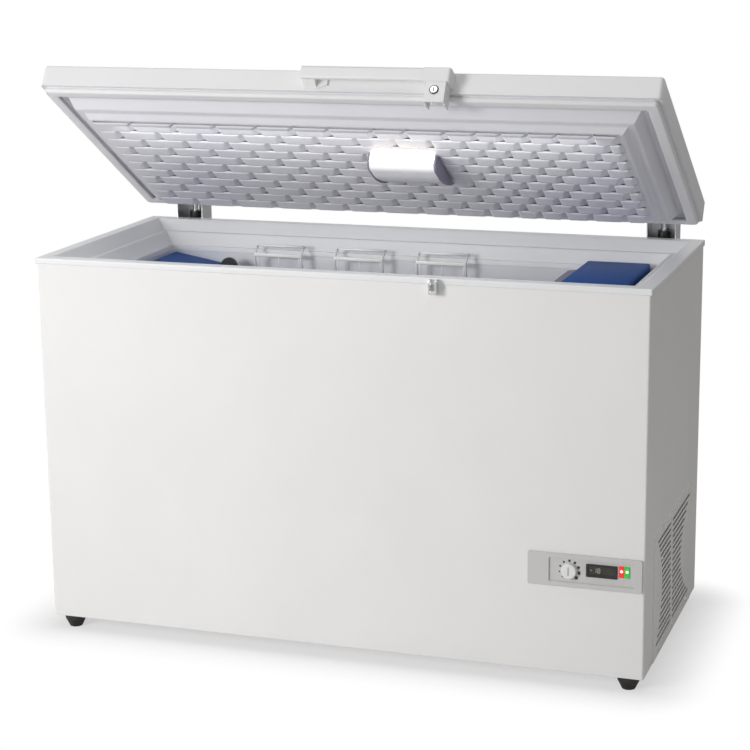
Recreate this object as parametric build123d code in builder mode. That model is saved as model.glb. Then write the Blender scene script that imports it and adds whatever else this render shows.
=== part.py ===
"""Ice pack freezer: a chest freezer for medical ice packs, with its lid raised.

Frame: +X right, +Y back, +Z up, millimetres. The origin is on the floor, in the middle of the
whole outline. The lid's pieces are drawn in the closed place and then turned open about the hinge.
"""

import os
from math import atan2, cos, degrees, radians, sin

from build123d import *

os.makedirs("parts", exist_ok=True)

# Clearances
RUN_FIT = 0.05          # radial, between a pin and its hole
REST_GAP = 0.3          # between pieces that only lie on or beside each other
PLAY = 0.5              # beside a moving plate

# Cabinet
CABINET_W = 1260.0
CABINET_D = 560.0
CABINET_Y = -18.0       # middle of the cabinet, so that the whole outline is about the origin
BODY_H = 766.0
FOOT_H = 30.0
FOOT_R = 22.0
FOOT_INSET_X = 34.0
FOOT_INSET_Y = 30.0
SHEET = 0.8             # outer steel sheet
EDGE_R = 4.0            # folded vertical edges

RIM_Z = FOOT_H + BODY_H
LEFT = -CABINET_W / 2
RIGHT = CABINET_W / 2
FRONT = CABINET_Y - CABINET_D / 2
BACK = CABINET_Y + CABINET_D / 2

# Collar round the mouth: flat rim, slope, ledge, slope, ledge, lip
BEAD_OUT = 2.5
BEAD_H = 12.0
BEAD_IN = 6.0
COLLAR_T = 3.0
RIM_FLAT = 24.0
UPPER_SLOPE_IN = 24.0
UPPER_SLOPE_DROP = 23.0
UPPER_LEDGE = 10.0
LOWER_SLOPE_IN = 23.0
LOWER_SLOPE_DROP = 26.0
LOWER_LEDGE = 5.0
LIP_DROP = 11.0

# Tank
LINER_T = 1.0
TANK_R = 8.0
FLOOR_WALL = 90.0       # insulation under the tank
STEP_WALL = 60.0        # insulation between the compressor space and the tank
STEP_FLOOR_WALL = 60.2  # the same, under the raised floor

# Compressor space, at the right end
MACHINE_W = 285.0
MACHINE_H = 259.0

# Lid
LID_T = 45.0
LID_SHEET = 1.2
LID_FRONT_OVER = 14.0
LID_REAR_INSET = 5.0
LID_SIDE_OVER = 2.0
LID_EDGE_R = 5.0
LID_CORNER_R = 8.0
LID_OPEN = 32.0         # degrees open at rest
LID_LINER_T = 2.0
GASKET_H = 12.0
GASKET_W = 25.0
GASKET_INSET = 6.0
PLUG_INSET = 42.0
PLUG_UPPER_IN = 15.0
PLUG_UPPER_DROP = 25.0
PLUG_LEDGE = 15.0
PLUG_LOWER_IN = 9.0
PLUG_LOWER_DROP = 12.0

# Brick pattern pressed into the lid's inner liner
BRICK_ROWS = 11
BRICK_LENGTHS = (85, 93, 92, 88, 76, 76, 91, 67, 80, 60, 51, 52, 56, 70, 49)  # first row, from the left
BRICK_GAP = 6.0
BRICK_H = 5.0
BRICK_SLOPE = 3.5       # inset of a brick's crown from its foot
BRICK_MARGIN = 8.0

# Hinges
HINGE_INSET = 90.0      # channel's middle inside the cabinet's end
PIVOT_BACK = 37.0       # hinge pin behind the cabinet's back
PIVOT_ABOVE = 61.0      # hinge pin above the cabinet's rim
HINGE_W = 62.0
HINGE_DEPTH = 56.0
HINGE_DROP = 217.0      # channel below the pin
HINGE_T = 2.0
HINGE_PIN_R = 4.0
HINGE_HEAD_R = 7.0
HINGE_HEAD_T = 2.5
HINGE_EAR_R = 19.0
LEAF_T = 2.5
LEAF_EYE_R = 12.0
LEAF_PLATE_H = 38.0
CAM_R = 14.0
CAM_W = 22.0
PLUNGER_R = 6.0
CARTRIDGE_R = 13.0
CARTRIDGE_H = 165.0

# Handle and lock on the lid's front
HANDLE_LEFT = -64.0
HANDLE_RIGHT = 181.0
HANDLE_REACH = 34.0
HANDLE_T = 11.0
HANDLE_H = 26.0
HANDLE_LOW = 12.0       # bar's underside above the lid's lower edge
BRACKET_W = 26.0
BLOCK_W = 55.0
LOCK_X = 207.5          # key cylinder, right above the keeper's eye
LOCK_UP = -7.0          # key cylinder from the lid's lower edge
LOCK_LEFT = 189.0
LOCK_RIGHT = 229.0
LOCK_WALL = 3.0
LOCK_FACE_T = 6.0
LOCK_DROP = 31.0        # housing below the lid's lower edge
LOCK_RISE = 9.5
LOCK_REAR = 5.5         # housing behind the lid's front face, under the lid's edge
LOCK_REACH = 32.0
CYLINDER_R = 7.0
SHAFT_R = 4.0
FINGER_R = 13.5
FINGER_T = 3.0
FINGER_W = 4.0
FINGER_START = 156.0
FINGER_SWEEP = 72.0
SPOKE_SWEEP = 12.0

# Keeper on the cabinet's front
KEEPER_T = 3.0
KEEPER_W = 17.0
KEEPER_REACH = 18.0
KEEPER_H = 29.0
KEEPER_TOP_DROP = 1.5
KEEPER_EYE_R = 4.2
KEEPER_NOSE_R = 7.0

# Lamp under the lid
LAMP_LEFT = 22.0
LAMP_RIGHT = 164.0
LAMP_SETBACK = 180.0    # lamp's front behind the lid's front face
LAMP_D = 142.0
LAMP_BASE_T = 5.0
LAMP_FACE_H = 22.0
LAMP_DROP = 33.0
LAMP_CAP_T = 4.0
LAMP_SHELL = 2.0
LAMP_TUBE_R = 8.0
LAMP_BROW_IN = 5.0      # the front's rounded lower edge
LAMP_CROWN_IN = 14.0    # the flat underside's start and end, from the front
LAMP_CROWN_END = 52.0

# Control panel
PANEL_INSET = 117.0     # panel's middle from the cabinet's right side
PANEL_UP = 209.0        # panel's middle above the cabinet's lower edge
PANEL_W = 224.0
PANEL_H = 66.0
PANEL_T = 5.0
PANEL_R = 3.0
RECESS_ACROSS = 13.5    # recess, dial, display and lamps from the panel's middle
RECESS_W = 167.0
RECESS_H = 47.0
RECESS_DEPTH = 3.0
PANEL_BOX_W = 206.0
PANEL_BOX_H = 54.0
PANEL_BOX_DEPTH = 34.0
PANEL_BOX_T = 2.0
KNOB_ACROSS = -30.0
KNOB_R = 15.0
KNOB_T = 9.0
KNOB_SHAFT_R = 3.0
KNOB_SLOT_W = 2.4
KNOB_SLOT_L = 17.0
THERMOSTAT_W = 36.0
THERMOSTAT_T = 24.0
DISPLAY_ACROSS = 33.5
DISPLAY_UP = 4.0        # display, window and lamps above the panel's middle
DISPLAY_W = 61.0
DISPLAY_H = 26.0
WINDOW_W = 52.0
WINDOW_H = 16.0
WINDOW_UP = 5.0
DISPLAY_PROUD = 2.0
LAMPS_ACROSS = 77.5
LAMPS_UP = 6.5
LAMPS_W = 21.0
LAMPS_H = 23.0
LENS_PROUD = 2.0
LENS_BODY = 12.0

# Vent grille on the right side
GRILLE_Y = 5.0          # from the cabinet's middle
GRILLE_W = 410.0
GRILLE_H = 256.0
GRILLE_LOW = 3.0        # above the cabinet's lower edge
GRILLE_T = 2.5
GRILLE_LAP = 6.0
SLOT_ROWS = 18
SLOT_H = 6.0
SLOT_TOP_IN = 17.0      # top row of slots below the grille's top
SLOT_LOW_IN = 28.0      # bottom row above the grille's bottom
SLOT_WAIST_FRONT = 115.0
SLOT_WAIST_BACK = 87.0
SLOT_FLARE_FRONT = 52.0
SLOT_FLARE_BACK = 93.0
SLOT_RIB = 16.0
SLOT_RIB_Y = -14.5
SLOT_RIB_LEAN = 7.5
SCREW_IN = 13.0         # screws above the grille's bottom
SCREW_Y = (-147.0, 2.0, 154.0)
SCREW_R = 4.0
SCREW_HEAD_T = 1.6
SCREW_SHANK_R = 1.6
SCREW_L = 9.0

# Compressor
COMPRESSOR_SIDE = 150.0 # middle from the cabinet's right side
COMPRESSOR_REAR = 202.0 # middle from the cabinet's back
COMPRESSOR_R = 82.0
COMPRESSOR_H = 175.0
PLATE_W = 230.0
PLATE_D = 180.0
PLATE_T = 3.0
GROMMET_R = 11.0
GROMMET_H = 14.0
RELAY_W = 60.0
RELAY_H = 70.0
RELAY_T = 40.0

# Back
GLAND_SIDE = 70.0       # from the cabinet's right side
GLAND_UP = 60.0         # above the cabinet's lower edge
GLAND_R = 9.0
GLAND_FLANGE_R = 15.0
GLAND_PROUD = 8.0
DRAIN_R = 16.0
DRAIN_T = 5.0
DRAIN_FROM_STACK = 27.7 # drain's middle from the left stack of packs

# Baskets
BASKET_W = 180.0
BASKET_SPACE = 6.0      # between two baskets
BASKET_END_SPACE = 6.0  # between a basket and the tank's front or back
BASKET_FROM_DRAIN = 11.0
BASKET_DOWN = 104.0     # baskets' rim below the cabinet's
RIM_WIRE = 6.0
WIRE = 3.5
CROSS_WIRE_COUNT = 6
LONG_WIRE_COUNT = 3
RING_COUNT = 2
LUG_T = 3.0
LUG_R = 7.0
GRIP_W = 112.0
GRIP_RAIL = 6.0
GRIP_ARM_T = 4.0
GRIP_PIVOT_IN = 20.0    # handle's pin inside the basket's end
GRIP_PIVOT_UP = 6.0     # handle's pin above the basket's rim
GRIP_PIN_R = 2.5
REAR_RAIL_OUT = 13.5    # rear rail behind the pin
REAR_RAIL_UP = 60.0
FRONT_RAIL_IN = 9.0
FRONT_RAIL_UP = 43.0

# Ice packs
PACK_W = 145.0
PACK_D = 240.0
PACK_H = 49.3
PACK_FROM_END = 4.0     # right stack from the tank's right end
PACK_ROOM = 45.0        # left free above the right stack
PACK_CORNER = 9.0
SMALL_W = 120.0
SMALL_D = 190.0
SMALL_H = 32.7
SMALL_ROOM = 100.0      # left free above the left stack's level packs
SMALL_TILT = 14.0
GREY_W = 31.0
GREY_D = 137.0
GREY_DOWN = 61.0        # grey pack's top below the cabinet's rim

# Round thermometer on the first basket
THERMOMETER_R = 19.0
THERMOMETER_T = 9.0
THERMOMETER_IN = 38.0   # from the basket's rear end
THERMOMETER_UP = 23.0   # above the basket's rim
CLIP_T = 2.0

# Places worked out from the sizes above
COLLAR_PROFILE = [
    (RIM_FLAT, 0.0),
    (RIM_FLAT + UPPER_SLOPE_IN, UPPER_SLOPE_DROP),
    (RIM_FLAT + UPPER_SLOPE_IN + UPPER_LEDGE, UPPER_SLOPE_DROP),
    (RIM_FLAT + UPPER_SLOPE_IN + UPPER_LEDGE + LOWER_SLOPE_IN, UPPER_SLOPE_DROP + LOWER_SLOPE_DROP),
]
TANK_WALL = COLLAR_PROFILE[-1][0] + LOWER_LEDGE
LEDGE_Z = RIM_Z - COLLAR_PROFILE[-1][1]
TANK_TOP = LEDGE_Z - LIP_DROP
TANK_W = CABINET_W - 2 * TANK_WALL
TANK_D = CABINET_D - 2 * TANK_WALL
TANK_FRONT = CABINET_Y - TANK_D / 2
TANK_BACK = CABINET_Y + TANK_D / 2
PAN_Z = FOOT_H + SHEET
FLOOR_Z = FOOT_H + FLOOR_WALL
STEP_Z = PAN_Z + MACHINE_H + STEP_FLOOR_WALL
MACHINE_LEFT = RIGHT - SHEET - MACHINE_W
WELL_RIGHT = MACHINE_LEFT - STEP_WALL

LID_Z = RIM_Z + GASKET_H
LID_TOP = LID_Z + LID_T
LID_FRONT = FRONT - LID_FRONT_OVER
LID_BACK = BACK - LID_REAR_INSET
LID_W = CABINET_W + 2 * LID_SIDE_OVER
LID_D = LID_BACK - LID_FRONT
LID_Y = (LID_BACK + LID_FRONT) / 2
PIVOT_Y = BACK + PIVOT_BACK
PIVOT_Z = RIM_Z + PIVOT_ABOVE
PLUG_PROFILE = [
    (PLUG_INSET, 0.0),
    (PLUG_INSET + PLUG_UPPER_IN, PLUG_UPPER_DROP),
    (PLUG_INSET + PLUG_UPPER_IN + PLUG_LEDGE, PLUG_UPPER_DROP),
    (PLUG_INSET + PLUG_UPPER_IN + PLUG_LEDGE + PLUG_LOWER_IN, PLUG_UPPER_DROP + PLUG_LOWER_DROP),
]
FIELD_INSET = PLUG_PROFILE[-1][0]
FIELD_Z = LID_Z - PLUG_PROFILE[-1][1]
FIELD_W = LID_W - 2 * FIELD_INSET
FIELD_D = LID_D - 2 * FIELD_INSET

PANEL_X = RIGHT - PANEL_INSET
PANEL_Z = FOOT_H + PANEL_UP
RECESS_X = PANEL_X + RECESS_ACROSS
KNOB_X = PANEL_X + KNOB_ACROSS
DISPLAY_X = PANEL_X + DISPLAY_ACROSS
DISPLAY_Z = PANEL_Z + DISPLAY_UP
WINDOW_Z = PANEL_Z + WINDOW_UP
LAMPS_X = PANEL_X + LAMPS_ACROSS
LAMPS_Z = PANEL_Z + LAMPS_UP
GRILLE_Z = FOOT_H + GRILLE_LOW + GRILLE_H / 2
SLOT_TOP_Z = GRILLE_Z + GRILLE_H / 2 - SLOT_TOP_IN
SLOT_LOW_Z = GRILLE_Z - GRILLE_H / 2 + SLOT_LOW_IN
SCREW_Z = GRILLE_Z - GRILLE_H / 2 + SCREW_IN
COMPRESSOR_X = RIGHT - COMPRESSOR_SIDE
COMPRESSOR_Y = BACK - COMPRESSOR_REAR
GLAND_X = RIGHT - GLAND_SIDE
GLAND_Z = FOOT_H + GLAND_UP
DRAIN_X = -TANK_W / 2 + REST_GAP + SMALL_W + DRAIN_FROM_STACK
BASKET_D = TANK_D - 2 * BASKET_END_SPACE
BASKET_TOP = RIM_Z - BASKET_DOWN
BASKET_LEFT = DRAIN_X + DRAIN_R + BASKET_FROM_DRAIN
BASKET_PITCH = BASKET_W + BASKET_SPACE
BASKET_COUNT = int((WELL_RIGHT - BASKET_LEFT) / BASKET_PITCH)
BASKET_X = [BASKET_LEFT + BASKET_W / 2 + n * BASKET_PITCH for n in range(BASKET_COUNT)]
PACK_X = TANK_W / 2 - PACK_FROM_END - PACK_W / 2
PACK_COUNT = int((RIM_Z - PACK_ROOM - STEP_Z) / (PACK_H + REST_GAP))
SMALL_COUNT = int((RIM_Z - SMALL_ROOM - FLOOR_Z) / (SMALL_H + REST_GAP))
GREY_TOP = RIM_Z - GREY_DOWN
THERMOMETER_Y = CABINET_Y + BASKET_D / 2 - THERMOMETER_IN
THERMOMETER_Z = BASKET_TOP + THERMOMETER_UP

HINGE_AXIS = Axis((0, PIVOT_Y, PIVOT_Z), (-1, 0, 0))


def save(block, name):
    """Name a finished piece and write it."""
    block.part.label = name
    export_step(block.part, f"parts/{name}.step")


def raise_lid(block):
    """Turn a piece that was drawn on the closed lid to the open rest place."""
    block.part = block.part.rotate(HINGE_AXIS, LID_OPEN)


def level(x, y, z):
    """A horizontal plane at a place."""
    return Plane(origin=(x, y, z))


def facing_front(x, y, z):
    """An upright plane at a place, seen from the front: its own Y is up, its normal is -Y."""
    return Plane(origin=(x, y, z), x_dir=(1, 0, 0), z_dir=(0, -1, 0))


def side_plane(x, y=0.0, z=0.0):
    """An upright plane at a place whose own X is the object's Y, its normal +X."""
    return Plane(origin=(x, y, z), x_dir=(0, 1, 0), z_dir=(1, 0, 0))


def slab(width, depth, low, high, x=0.0, y=CABINET_Y, mode=Mode.ADD):
    """An upright block between two heights, about x and y."""
    with BuildSketch(level(x, y, low)) as base:
        Rectangle(width, depth)
    extrude(base.sketch, amount=high - low, mode=mode)


def folded_body(inset, low, high, mode):
    """The cabinet's block: its front corners folded round, its back corners square."""
    with BuildSketch(level(0, CABINET_Y, low)) as base:
        outline = Rectangle(CABINET_W - 2 * inset, CABINET_D - 2 * inset)
        fillet(outline.vertices().group_by(Axis.Y)[0], EDGE_R - inset)
    extrude(base.sketch, amount=high - low, mode=mode)


def stepped(profile, width, depth, top, y, out=0.0, down=0.0, mode=Mode.ADD):
    """Tapered blocks, one under another, that follow a profile of insets and drops."""
    for (inset, drop), (next_inset, next_drop) in zip(profile, profile[1:]):
        if next_drop == drop:
            continue
        with BuildSketch(level(0, y, top - drop - down)) as upper:
            Rectangle(width - 2 * (inset - out), depth - 2 * (inset - out))
        with BuildSketch(level(0, y, top - next_drop - down)) as lower:
            Rectangle(width - 2 * (next_inset - out), depth - 2 * (next_inset - out))
        loft([upper.sketch, lower.sketch], ruled=True, mode=mode)


def collar_outside(mode):
    """The collar's hidden outer side, down to the tank's top edge."""
    stepped(COLLAR_PROFILE, CABINET_W, CABINET_D, RIM_Z, CABINET_Y, COLLAR_T, COLLAR_T, mode)
    lip = TANK_WALL - COLLAR_T
    slab(CABINET_W - 2 * lip, CABINET_D - 2 * lip, TANK_TOP, LEDGE_Z - COLLAR_T, mode=mode)


def tank_space(grow, mode):
    """The tank's hollow, with its raised floor over the compressor, grown by a thickness."""
    well_width = WELL_RIGHT + TANK_W / 2
    with BuildSketch(level(0, CABINET_Y, STEP_Z - grow)) as upper:
        RectangleRounded(TANK_W + 2 * grow, TANK_D + 2 * grow, TANK_R + grow)
    extrude(upper.sketch, amount=TANK_TOP - STEP_Z + grow, mode=mode)
    with BuildSketch(level(WELL_RIGHT - well_width / 2, CABINET_Y, FLOOR_Z - grow)) as well:
        RectangleRounded(well_width + 2 * grow, TANK_D + 2 * grow, TANK_R + grow)
    extrude(well.sketch, amount=STEP_Z - FLOOR_Z + grow, mode=mode)


def machine_space(mode):
    """The compressor's space at the right end, below the raised floor."""
    inner_right = RIGHT - SHEET
    slab(
        MACHINE_W,
        CABINET_D - 2 * SHEET,
        PAN_Z,
        PAN_Z + MACHINE_H,
        x=inner_right - MACHINE_W / 2,
        mode=mode,
    )


# Cabinet shell

with BuildPart() as outer_wrap:
    folded_body(0.0, FOOT_H, RIM_Z - BEAD_H, Mode.ADD)
    folded_body(SHEET, FOOT_H, RIM_Z - BEAD_H, Mode.SUBTRACT)
    slab(CABINET_W, SHEET, FOOT_H, RIM_Z - BEAD_H, y=BACK - SHEET / 2, mode=Mode.SUBTRACT)
    with BuildSketch(side_plane(RIGHT + SHEET, CABINET_Y + GRILLE_Y, GRILLE_Z)):
        Rectangle(GRILLE_W - 2 * GRILLE_LAP, GRILLE_H - 2 * GRILLE_LAP)
    extrude(amount=-3 * SHEET, mode=Mode.SUBTRACT)
    with BuildSketch(facing_front(PANEL_X, FRONT - SHEET, PANEL_Z)):
        Rectangle(PANEL_BOX_W, PANEL_BOX_H)
    extrude(amount=-3 * SHEET, mode=Mode.SUBTRACT)
save(outer_wrap, "outer_wrap")

with BuildPart() as back_panel:
    with BuildSketch(facing_front(0, BACK - SHEET, FOOT_H + (BODY_H - BEAD_H) / 2)):
        Rectangle(CABINET_W, BODY_H - BEAD_H)
    extrude(amount=-SHEET)
    with BuildSketch(facing_front(GLAND_X, BACK, GLAND_Z)):
        Circle(GLAND_R)
    extrude(amount=SHEET, mode=Mode.SUBTRACT)
save(back_panel, "back_panel")

with BuildPart() as base_pan:
    folded_body(SHEET, FOOT_H, PAN_Z, Mode.ADD)
save(base_pan, "base_pan")

with BuildPart() as insulation_foam:
    folded_body(SHEET, PAN_Z, RIM_Z - BEAD_H, Mode.ADD)
    slab(CABINET_W - 2 * BEAD_IN, CABINET_D - 2 * BEAD_IN, RIM_Z - BEAD_H, RIM_Z - COLLAR_T)
    collar_outside(Mode.SUBTRACT)
    tank_space(LINER_T, Mode.SUBTRACT)
    machine_space(Mode.SUBTRACT)
save(insulation_foam, "insulation_foam")

with BuildPart() as inner_liner:
    tank_space(LINER_T, Mode.ADD)
    tank_space(0.0, Mode.SUBTRACT)
save(inner_liner, "inner_liner")

with BuildPart() as rim_collar:
    with BuildSketch(level(0, CABINET_Y, RIM_Z - BEAD_H)):
        Rectangle(CABINET_W + 2 * BEAD_OUT, CABINET_D + 2 * BEAD_OUT)
        Rectangle(CABINET_W - 2 * BEAD_IN, CABINET_D - 2 * BEAD_IN, mode=Mode.SUBTRACT)
    extrude(amount=BEAD_H)
    slab(CABINET_W, CABINET_D, RIM_Z - COLLAR_T, RIM_Z)
    collar_outside(Mode.ADD)
    stepped(COLLAR_PROFILE, CABINET_W, CABINET_D, RIM_Z, CABINET_Y, mode=Mode.SUBTRACT)
    slab(TANK_W, TANK_D, TANK_TOP, LEDGE_Z, mode=Mode.SUBTRACT)
    fillet(rim_collar.faces().sort_by(Axis.Z)[-1].outer_wire().edges(), BEAD_OUT)
save(rim_collar, "rim_collar")

with BuildPart() as feet:
    foot_x = CABINET_W / 2 - FOOT_INSET_X
    foot_y = CABINET_D / 2 - FOOT_INSET_Y
    for x in (-foot_x, foot_x):
        for y in (CABINET_Y - foot_y, CABINET_Y + foot_y):
            with BuildSketch(Plane(origin=(x, y, 0), x_dir=(1, 0, 0), z_dir=(0, -1, 0))):
                with BuildLine():
                    Polyline(
                        (0, FOOT_H),
                        (FOOT_R, FOOT_H),
                        (FOOT_R, FOOT_H * 0.6),
                        (FOOT_R * 0.6, 0),
                        (0, 0),
                        close=True,
                    )
                make_face()
            revolve(axis=Axis((x, y, 0), (0, 0, 1)))
save(feet, "feet")


# Compressor space

with BuildPart() as compressor_plate:
    plate_z = PAN_Z + GROMMET_H
    slab(PLATE_W, PLATE_D, plate_z, plate_z + PLATE_T, x=COMPRESSOR_X, y=COMPRESSOR_Y)
    fillet(compressor_plate.edges().filter_by(Axis.Z), GROMMET_R)
save(compressor_plate, "compressor_plate")

with BuildPart() as compressor_grommets:
    with BuildSketch(level(COMPRESSOR_X, COMPRESSOR_Y, PAN_Z)):
        with GridLocations(PLATE_W - 2.5 * GROMMET_R, PLATE_D - 2.5 * GROMMET_R, 2, 2):
            Circle(GROMMET_R)
    extrude(amount=GROMMET_H)
save(compressor_grommets, "compressor_grommets")

with BuildPart() as compressor:
    pot_low = plate_z + PLATE_T
    seam_r = COMPRESSOR_R * 0.95
    with BuildSketch(Plane(origin=(COMPRESSOR_X, COMPRESSOR_Y, pot_low), x_dir=(1, 0, 0), z_dir=(0, -1, 0))):
        with BuildLine():
            Polyline(
                (0, COMPRESSOR_H),
                (0, 0),
                (COMPRESSOR_R * 0.6, 0),
                (seam_r, COMPRESSOR_H * 0.2),
                (seam_r, COMPRESSOR_H * 0.5),
                (COMPRESSOR_R, COMPRESSOR_H * 0.52),
                (COMPRESSOR_R, COMPRESSOR_H * 0.56),
                (COMPRESSOR_R * 0.78, COMPRESSOR_H * 0.84),
                (COMPRESSOR_R * 0.4, COMPRESSOR_H),
                close=True,
            )
        make_face()
    revolve(axis=Axis((COMPRESSOR_X, COMPRESSOR_Y, 0), (0, 0, 1)))
save(compressor, "compressor")

with BuildPart() as relay_cover:
    relay_x = COMPRESSOR_X - COMPRESSOR_R * 0.95 - RELAY_T / 2
    relay_low = pot_low + COMPRESSOR_H * 0.2
    slab(RELAY_T, RELAY_W, relay_low, relay_low + RELAY_H * 0.75, x=relay_x, y=COMPRESSOR_Y)
    fillet(relay_cover.edges().filter_by(Axis.Z).group_by(Axis.X)[0], RELAY_T / 4)
save(relay_cover, "relay_cover")


def slot_span(row):
    """Where one row of slots starts and ends: long at the top and bottom rows, short at the waist."""
    t = 2 * row / (SLOT_ROWS - 1) - 1
    front = -SLOT_WAIST_FRONT - SLOT_FLARE_FRONT * t * t
    back = SLOT_WAIST_BACK + SLOT_FLARE_BACK * t * t
    rib = SLOT_RIB_Y - SLOT_RIB_LEAN * t
    return front, back, rib


with BuildPart() as vent_grille:
    with BuildSketch(side_plane(RIGHT, CABINET_Y + GRILLE_Y, GRILLE_Z)):
        RectangleRounded(GRILLE_W, GRILLE_H, GRILLE_LAP)
    extrude(amount=GRILLE_T)
    with BuildSketch(side_plane(RIGHT, CABINET_Y, 0)):
        for row in range(SLOT_ROWS):
            z = SLOT_LOW_Z + (SLOT_TOP_Z - SLOT_LOW_Z) * row / (SLOT_ROWS - 1)
            front, back, rib = slot_span(row)
            for start, end in ((front, rib - SLOT_RIB / 2), (rib + SLOT_RIB / 2, back)):
                with Locations(((start + end) / 2, z)):
                    Rectangle(end - start, SLOT_H)
    extrude(amount=GRILLE_T, mode=Mode.SUBTRACT)
    with BuildSketch(side_plane(RIGHT, CABINET_Y, SCREW_Z)):
        with Locations(*[(y, 0) for y in SCREW_Y]):
            Circle(SCREW_SHANK_R + RUN_FIT)
    extrude(amount=GRILLE_T, mode=Mode.SUBTRACT)
save(vent_grille, "vent_grille")

with BuildPart() as grille_screws:
    with BuildSketch(side_plane(RIGHT + GRILLE_T, CABINET_Y, SCREW_Z)):
        with Locations(*[(y, 0) for y in SCREW_Y]):
            Circle(SCREW_R)
    extrude(amount=SCREW_HEAD_T)
    with BuildSketch(side_plane(RIGHT + GRILLE_T, CABINET_Y, SCREW_Z)):
        with Locations(*[(y, 0) for y in SCREW_Y]):
            Circle(SCREW_SHANK_R)
    extrude(amount=-SCREW_L)
save(grille_screws, "grille_screws")


# Control panel

with BuildPart() as panel_bezel:
    panel_face = FRONT - PANEL_T
    recess_floor = panel_face + RECESS_DEPTH
    with BuildSketch(facing_front(PANEL_X, FRONT, PANEL_Z)):
        RectangleRounded(PANEL_W, PANEL_H, PANEL_R)
    extrude(amount=PANEL_T)
    with BuildSketch(facing_front(PANEL_X, FRONT, PANEL_Z)):
        Rectangle(PANEL_BOX_W, PANEL_BOX_H)
        Rectangle(PANEL_BOX_W - 2 * PANEL_BOX_T, PANEL_BOX_H - 2 * PANEL_BOX_T, mode=Mode.SUBTRACT)
    extrude(amount=-PANEL_BOX_DEPTH)
    with BuildSketch(facing_front(RECESS_X, panel_face, PANEL_Z)):
        Rectangle(RECESS_W, RECESS_H)
    extrude(amount=-RECESS_DEPTH, mode=Mode.SUBTRACT)
    with BuildSketch(facing_front(0, FRONT, 0)):
        with Locations((KNOB_X, PANEL_Z)):
            Circle(KNOB_SHAFT_R + RUN_FIT)
        with Locations((DISPLAY_X, WINDOW_Z)):
            Rectangle(WINDOW_W, WINDOW_H)
        with Locations((LAMPS_X, LAMPS_Z)):
            Rectangle(LAMPS_W, LAMPS_H)
    extrude(amount=PANEL_T, mode=Mode.SUBTRACT)
save(panel_bezel, "panel_bezel")

with BuildPart() as thermostat_body:
    with BuildSketch(facing_front(KNOB_X, FRONT, PANEL_Z)):
        Rectangle(THERMOSTAT_W, THERMOSTAT_W)
        Circle(KNOB_SHAFT_R + RUN_FIT, mode=Mode.SUBTRACT)
    extrude(amount=-THERMOSTAT_T)
save(thermostat_body, "thermostat_body")

with BuildPart() as thermostat_knob:
    with BuildSketch(facing_front(KNOB_X, recess_floor - REST_GAP, PANEL_Z)):
        Circle(KNOB_R)
    extrude(amount=KNOB_T)
    knob_front = thermostat_knob.faces().sort_by(Axis.Y)[0]
    chamfer(knob_front.edges(), KNOB_SLOT_W / 2)
    with BuildSketch(facing_front(KNOB_X, recess_floor - REST_GAP - KNOB_T, PANEL_Z)):
        Rectangle(KNOB_SLOT_W, KNOB_SLOT_L)
    extrude(amount=-KNOB_T / 3, mode=Mode.SUBTRACT)
    with BuildSketch(facing_front(KNOB_X, recess_floor - REST_GAP, PANEL_Z)):
        Circle(KNOB_SHAFT_R)
    extrude(amount=-THERMOSTAT_T)
save(thermostat_knob, "thermostat_knob")

with BuildPart() as display_module:
    with BuildSketch(facing_front(DISPLAY_X, recess_floor, DISPLAY_Z)):
        RectangleRounded(DISPLAY_W, DISPLAY_H, PANEL_R / 2)
    extrude(amount=DISPLAY_PROUD)
    with BuildSketch(facing_front(DISPLAY_X, recess_floor - DISPLAY_PROUD, WINDOW_Z)):
        Rectangle(WINDOW_W, WINDOW_H)
    extrude(amount=-DISPLAY_PROUD, mode=Mode.SUBTRACT)
save(display_module, "display_frame")

with BuildPart() as display_window:
    with BuildSketch(facing_front(DISPLAY_X, recess_floor - DISPLAY_PROUD / 2, WINDOW_Z)):
        Rectangle(WINDOW_W, WINDOW_H)
    extrude(amount=-LENS_BODY)
save(display_window, "display_window")

for lamp_name, side in (("red_lamp", -1), ("green_lamp", 1)):
    with BuildPart() as indicator:
        with BuildSketch(facing_front(LAMPS_X + side * LAMPS_W / 4, recess_floor - LENS_PROUD, LAMPS_Z)):
            Rectangle(LAMPS_W / 2, LAMPS_H)
        extrude(amount=-LENS_BODY)
        chamfer(indicator.faces().sort_by(Axis.Y)[0].edges(), LENS_PROUD / 2)
    save(indicator, lamp_name)


# Keeper for the lock, on the cabinet's front

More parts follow.
